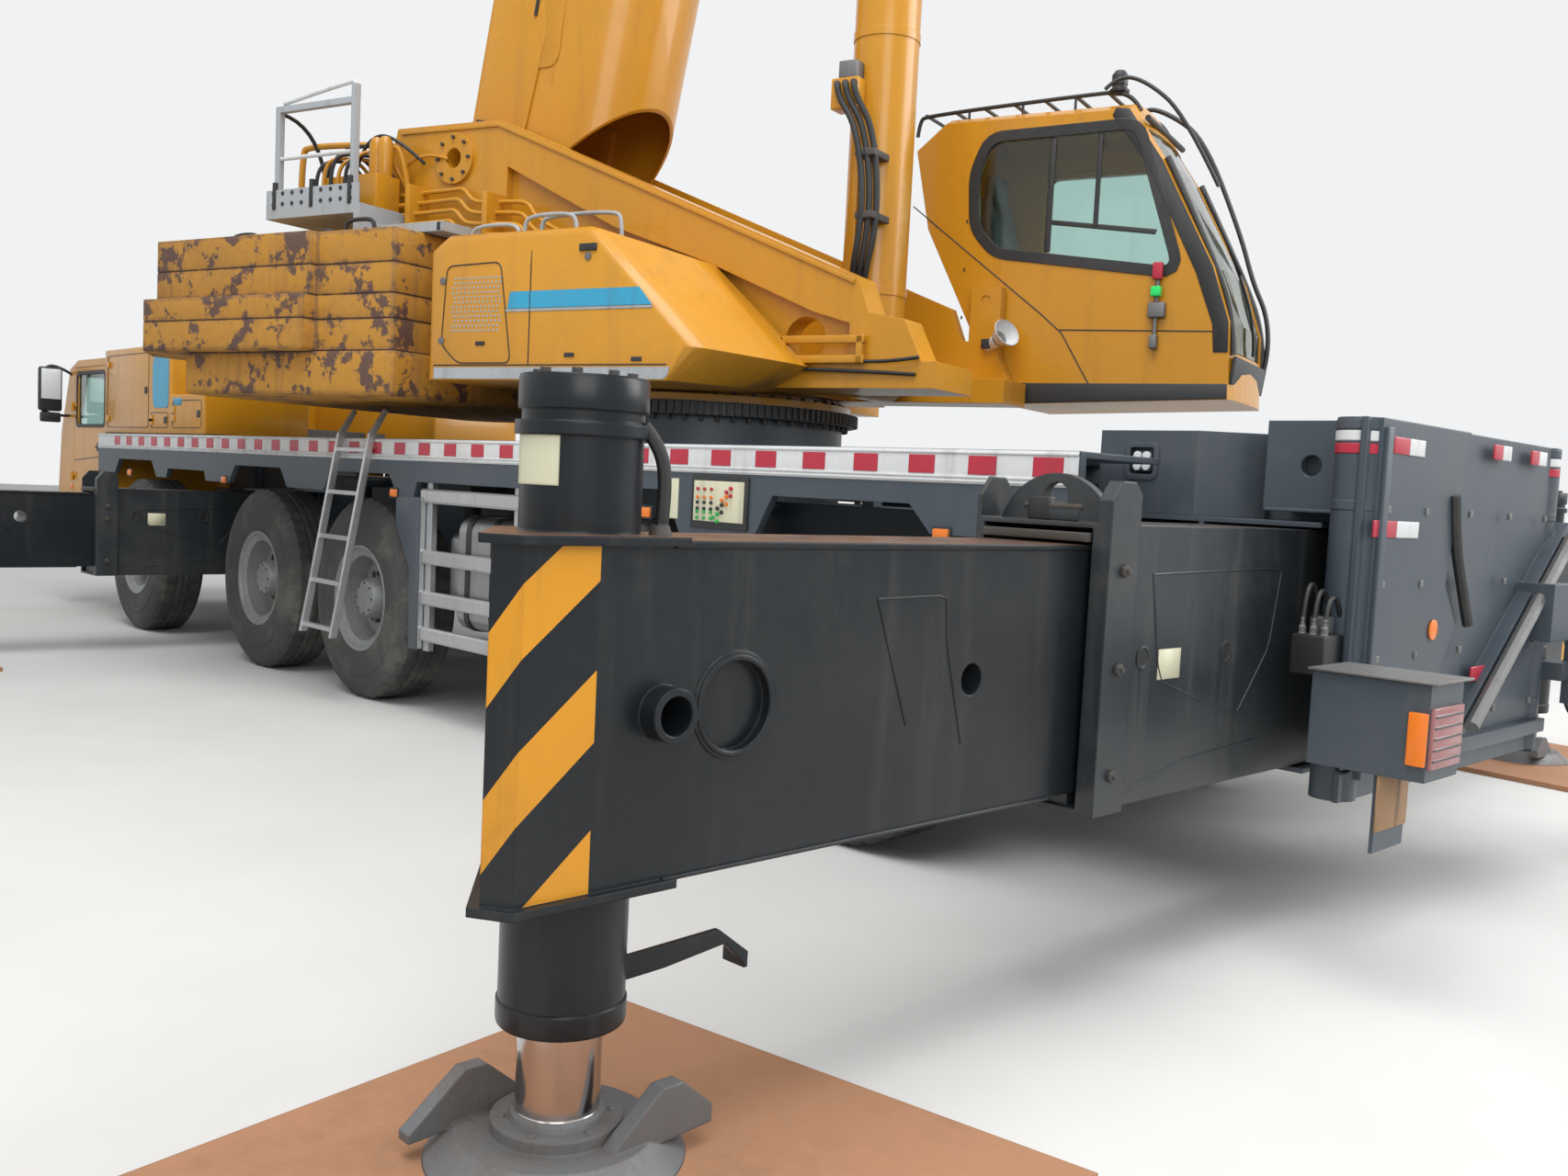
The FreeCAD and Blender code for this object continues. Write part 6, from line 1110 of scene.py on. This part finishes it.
cab.plate([(1.6, 0.8, 2.62), (1.6, 1.32, 2.62), (2.1, 1.3, 2.66), (2.1, 0.82, 2.66)], (0, 0, 0.13), 1, 0.045)
cab.plate([(1.6, 0.82, 2.7), (1.6, 1.3, 2.7), (1.42, 1.27, 3.5), (1.42, 0.85, 3.5)], (0.13, 0, 0.03), 1, 0.045)
cab.bar((1.46, 0.95, 3.48), (1.56, 1.17, 3.68), 1, 0.04)
cab.bar((1.66, 0.86, 2.28), (2.02, 1.26, 2.62), 1, 0.02)
for y in (0.74, 1.3):
    cab.bar((1.85, y, 2.74), (2.25, y + 0.1, 2.9), 1, 0.03)
    cab.pipe([(2.2, y + 0.05, 2.9), (2.22, y + 0.05, 3.03)], 0.018, 1, 2)
cab.bar((2.74, 1.18, 2.3), (2.92, 1.44, 3.02), 1, 0.03)
cab.bar((2.7, 1.1, 3.04), (2.74, 1.4, 3.24), 1, 0.012)
cab.done("operator_cab", "yellow_paint", UPPER)
leaf = Bench("OperatorDoorTrim", BLACK, GLASS)
opening = [(1.722, 3.002), (2.736, 3.002), (2.438, 3.738), (1.722, 3.738)]
leaf.ring(rounded(opening, 0.05, 1.532), 0.035, 0.006, 0)
leaf.plate([(1.722, 1.511, 3.002), (2.737, 1.511, 3.002), (2.438, 1.511, 3.738), (1.722, 1.511, 3.738)],
           (0, 0.006, 0), 1)
leaf.pipe([(1.66, 1.531, 2.86), (1.68, 1.556, 2.86), (1.8, 1.556, 2.86), (1.82, 1.531, 2.86)], 0.009, 0)
leaf.bar((1.6, 1.505, 3.822), (2.52, 1.535, 3.85), 0, 0.004)
leaf.done("operator_door", "yellow_paint", UPPER)

# Boom: a base section with its foot plates and three telescoping sections, flat on top and round below, folded and
# welded from sheet, with wear collars, doubling plates and weld seams. The head carries its sheaves.
dress(YELLOW, "boom_base", "boom_section_2", "boom_section_3", "boom_section_4")
BOOM = UPPER @ moved(FOOT_PIN_X, 0, FOOT_PIN_Z) @ Matrix.Rotation(RAISED, 4, "Y")
boom = Bench("BoomBaseFittings", YELLOW, BLACK, CAST, HARDWARE)
for hand in (1, -1):
    y = 0.5 * hand
    doubler = rounded_pairs([(-0.25, 0.13), (1.95, 0.13), (1.55, -0.15), (0.9, -0.36), (0.25, -0.32),
                             (-0.25, -0.22)], 0.08)
    boom.plate([(s, y, t) for s, t in doubler], (0, 0.014 * hand, 0), 0, 0.004)
    cheek = rounded_pairs([(0.62, 0.1), (3.1, 0.1), (2.7, -0.1), (1.45, -0.44), (0.7, -0.5)], 0.1)
    boom.plate([(s, y, t) for s, t in cheek], (0, 0.008 * hand, 0), 0, 0.003)
    for t in (0.135, -0.47):
        boom.pipe([(0.6, y, t), (11.0, y, t)], 0.006, 0, 2)
    for s in (3.4, 6.6, 9.2):
        boom.bar((s, y, -0.48), (s + 0.1, y + 0.01 * hand, 0.14), 0, 0.003)
    for s in (4.2, 5.4, 7.8, 8.6, 10.2):
        boom.turned([(0, 0), (0.05, 0), (0.05, 0.012), (0.03, 0.016), (0, 0.016)], 0,
                    moved(s, y, 0.02) @ Matrix.Rotation(math.radians(-90 * hand), 4, "X"), 20)
    boom.row(2, moved(11.1, 0.53 * hand, 0.08), 6, (0, 0, -0.1), (0.03, 0.02, 0.03))
boom.pipe([(1.0, -0.52, -0.25), (3.2, -0.52, -0.25), (3.4, -0.53, -0.22), (10.9, -0.53, -0.22)], 0.012, 1)
for s in (1.4, 2.4, 4.0, 5.6, 7.2, 8.8, 10.4):
    boom.bar((s, -0.54, -0.275), (s + 0.03, -0.498, -0.205), 2, 0.003)
boom.bar((0.15, -0.548, 0.02), (0.3, -0.5, 0.09), 1, 0.008)
boom.done("boom_base", "yellow_paint", BOOM)
for k in (1, 2, 3):
    half, end = 0.5 - 0.05 * k, 11.2 + 0.3 * k
    collar = Bench("SectionFittings%d" % (k + 1), YELLOW, CAST, BLACK)
    for hand in (1, -1):
        collar.row(1, moved(end - 0.07, (half + 0.022) * hand, 0.04 - 0.05 * k), 5, (0, 0, -0.1),
                   (0.026, 0.016, 0.026))
    collar.row(1, moved(end - 0.07, -0.28, 0.182 - 0.05 * k), 5, (0, 0.14, 0), (0.026, 0.026, 0.016))
    if k == 3:
        for z in (-0.32, -0.52):
            for y in (-0.294, 0.294):
                collar.bolts(1, moved(end + 0.33, y, z, TO_RIGHT), 8, 0.06, 0.01, 0.014)
        collar.bar((end + 0.5, -0.05, 0.015), (end + 0.6, 0.05, 0.09), 2, 0.02)
    collar.done("boom_section_%d" % (k + 1), "yellow_paint", BOOM)

# Luffing ram: a thick painted barrel with its valve block and clipped pressure pipes, and a chromed rod whose eye
# is on the boom.
dress(YELLOW, "luff_barrel")
dress(CHROME, "luff_rod")
RAM = UPPER @ moved(RAM_PIN_X, 0, RAM_PIN_Z, TO_REAR)
ram = Bench("RamPipes", BLACK, YELLOW, HARDWARE, CAST)
ram.bar((1.46, -0.3, 0.02), (1.64, -0.17, 0.2), 1, 0.012)
ram.bar((1.64, -0.29, 0.04), (1.74, -0.19, 0.16), 2, 0.01)
for k in range(3):
    t = 0.055 * k
    ram.turned([(0, 0), (0.018, 0), (0.018, 0.03), (0.012, 0.034), (0, 0.034)], 2,
               moved(1.6, -0.3, 0.04 + t, TO_RIGHT), 6)
    ram.pipe([(1.6, -0.31, 0.04 + t), (1.6, -0.345, 0.03 + t), (1.5, -0.345, 0.0 + t),
              (1.34, -0.33 - 0.02 * k, -0.1 + t * 0.8), (1.02, -0.325 - 0.03 * k, -0.155 + t * 0.6),
              (0.74, -0.325 - 0.03 * k, -0.155 + t * 0.6), (0.5, -0.315 - 0.02 * k, -0.1 + t * 0.6),
              (0.36, -0.27, -0.06 + t * 0.6)], 0.019, 0)
    ram.turned([(0, 0), (0.026, 0), (0.026, 0.04), (0, 0.04)], 2, moved(0.36, -0.25, -0.06 + t * 0.6, TO_RIGHT), 12)
ram.bar((0.8, -0.39, -0.165), (0.84, -0.17, -0.05), 3, 0.004)
ram.bar((1.16, -0.37, -0.145), (1.2, -0.17, -0.02), 3, 0.004)
ram.pipe([(0.42, -0.196, 0.05), (1.4, -0.196, 0.05)], 0.01, 1, 2)
for s in (0.4, 1.9, 3.2):
    ram.turned([(0.1945, s), (0.2, s), (0.2, s + 0.05), (0.1945, s + 0.05)], 1, TO_FRONT, 48)
ram.done("luff_barrel", "yellow_paint", RAM)

# Floor: one pale matt sheet that takes the shadows.
FLOOR = bpy.data.materials.new("Floor")
FLOOR.use_nodes = True
ground = Wiring(FLOOR.node_tree)
speck = ground.noise(ground.add("TexCoord").outputs["Object"], 1.2, 4.0, 0.5)
ground.put(ground.nodes["Principled BSDF"].inputs["Base Color"],
           ground.mix(speck, (0.57, 0.56, 0.54), (0.66, 0.65, 0.63)))
ground.nodes["Principled BSDF"].inputs["Roughness"].default_value = 0.9
sheet = bpy.data.meshes.new("Floor")
sheet.from_pydata([(-60, -60, 0), (60, -60, 0), (60, 60, 0), (-60, 60, 0)], [], [(0, 1, 2, 3)])
sheet.materials.append(FLOOR)
floor = bpy.data.objects.new("Floor", sheet)
COLLECTION.objects.link(floor)
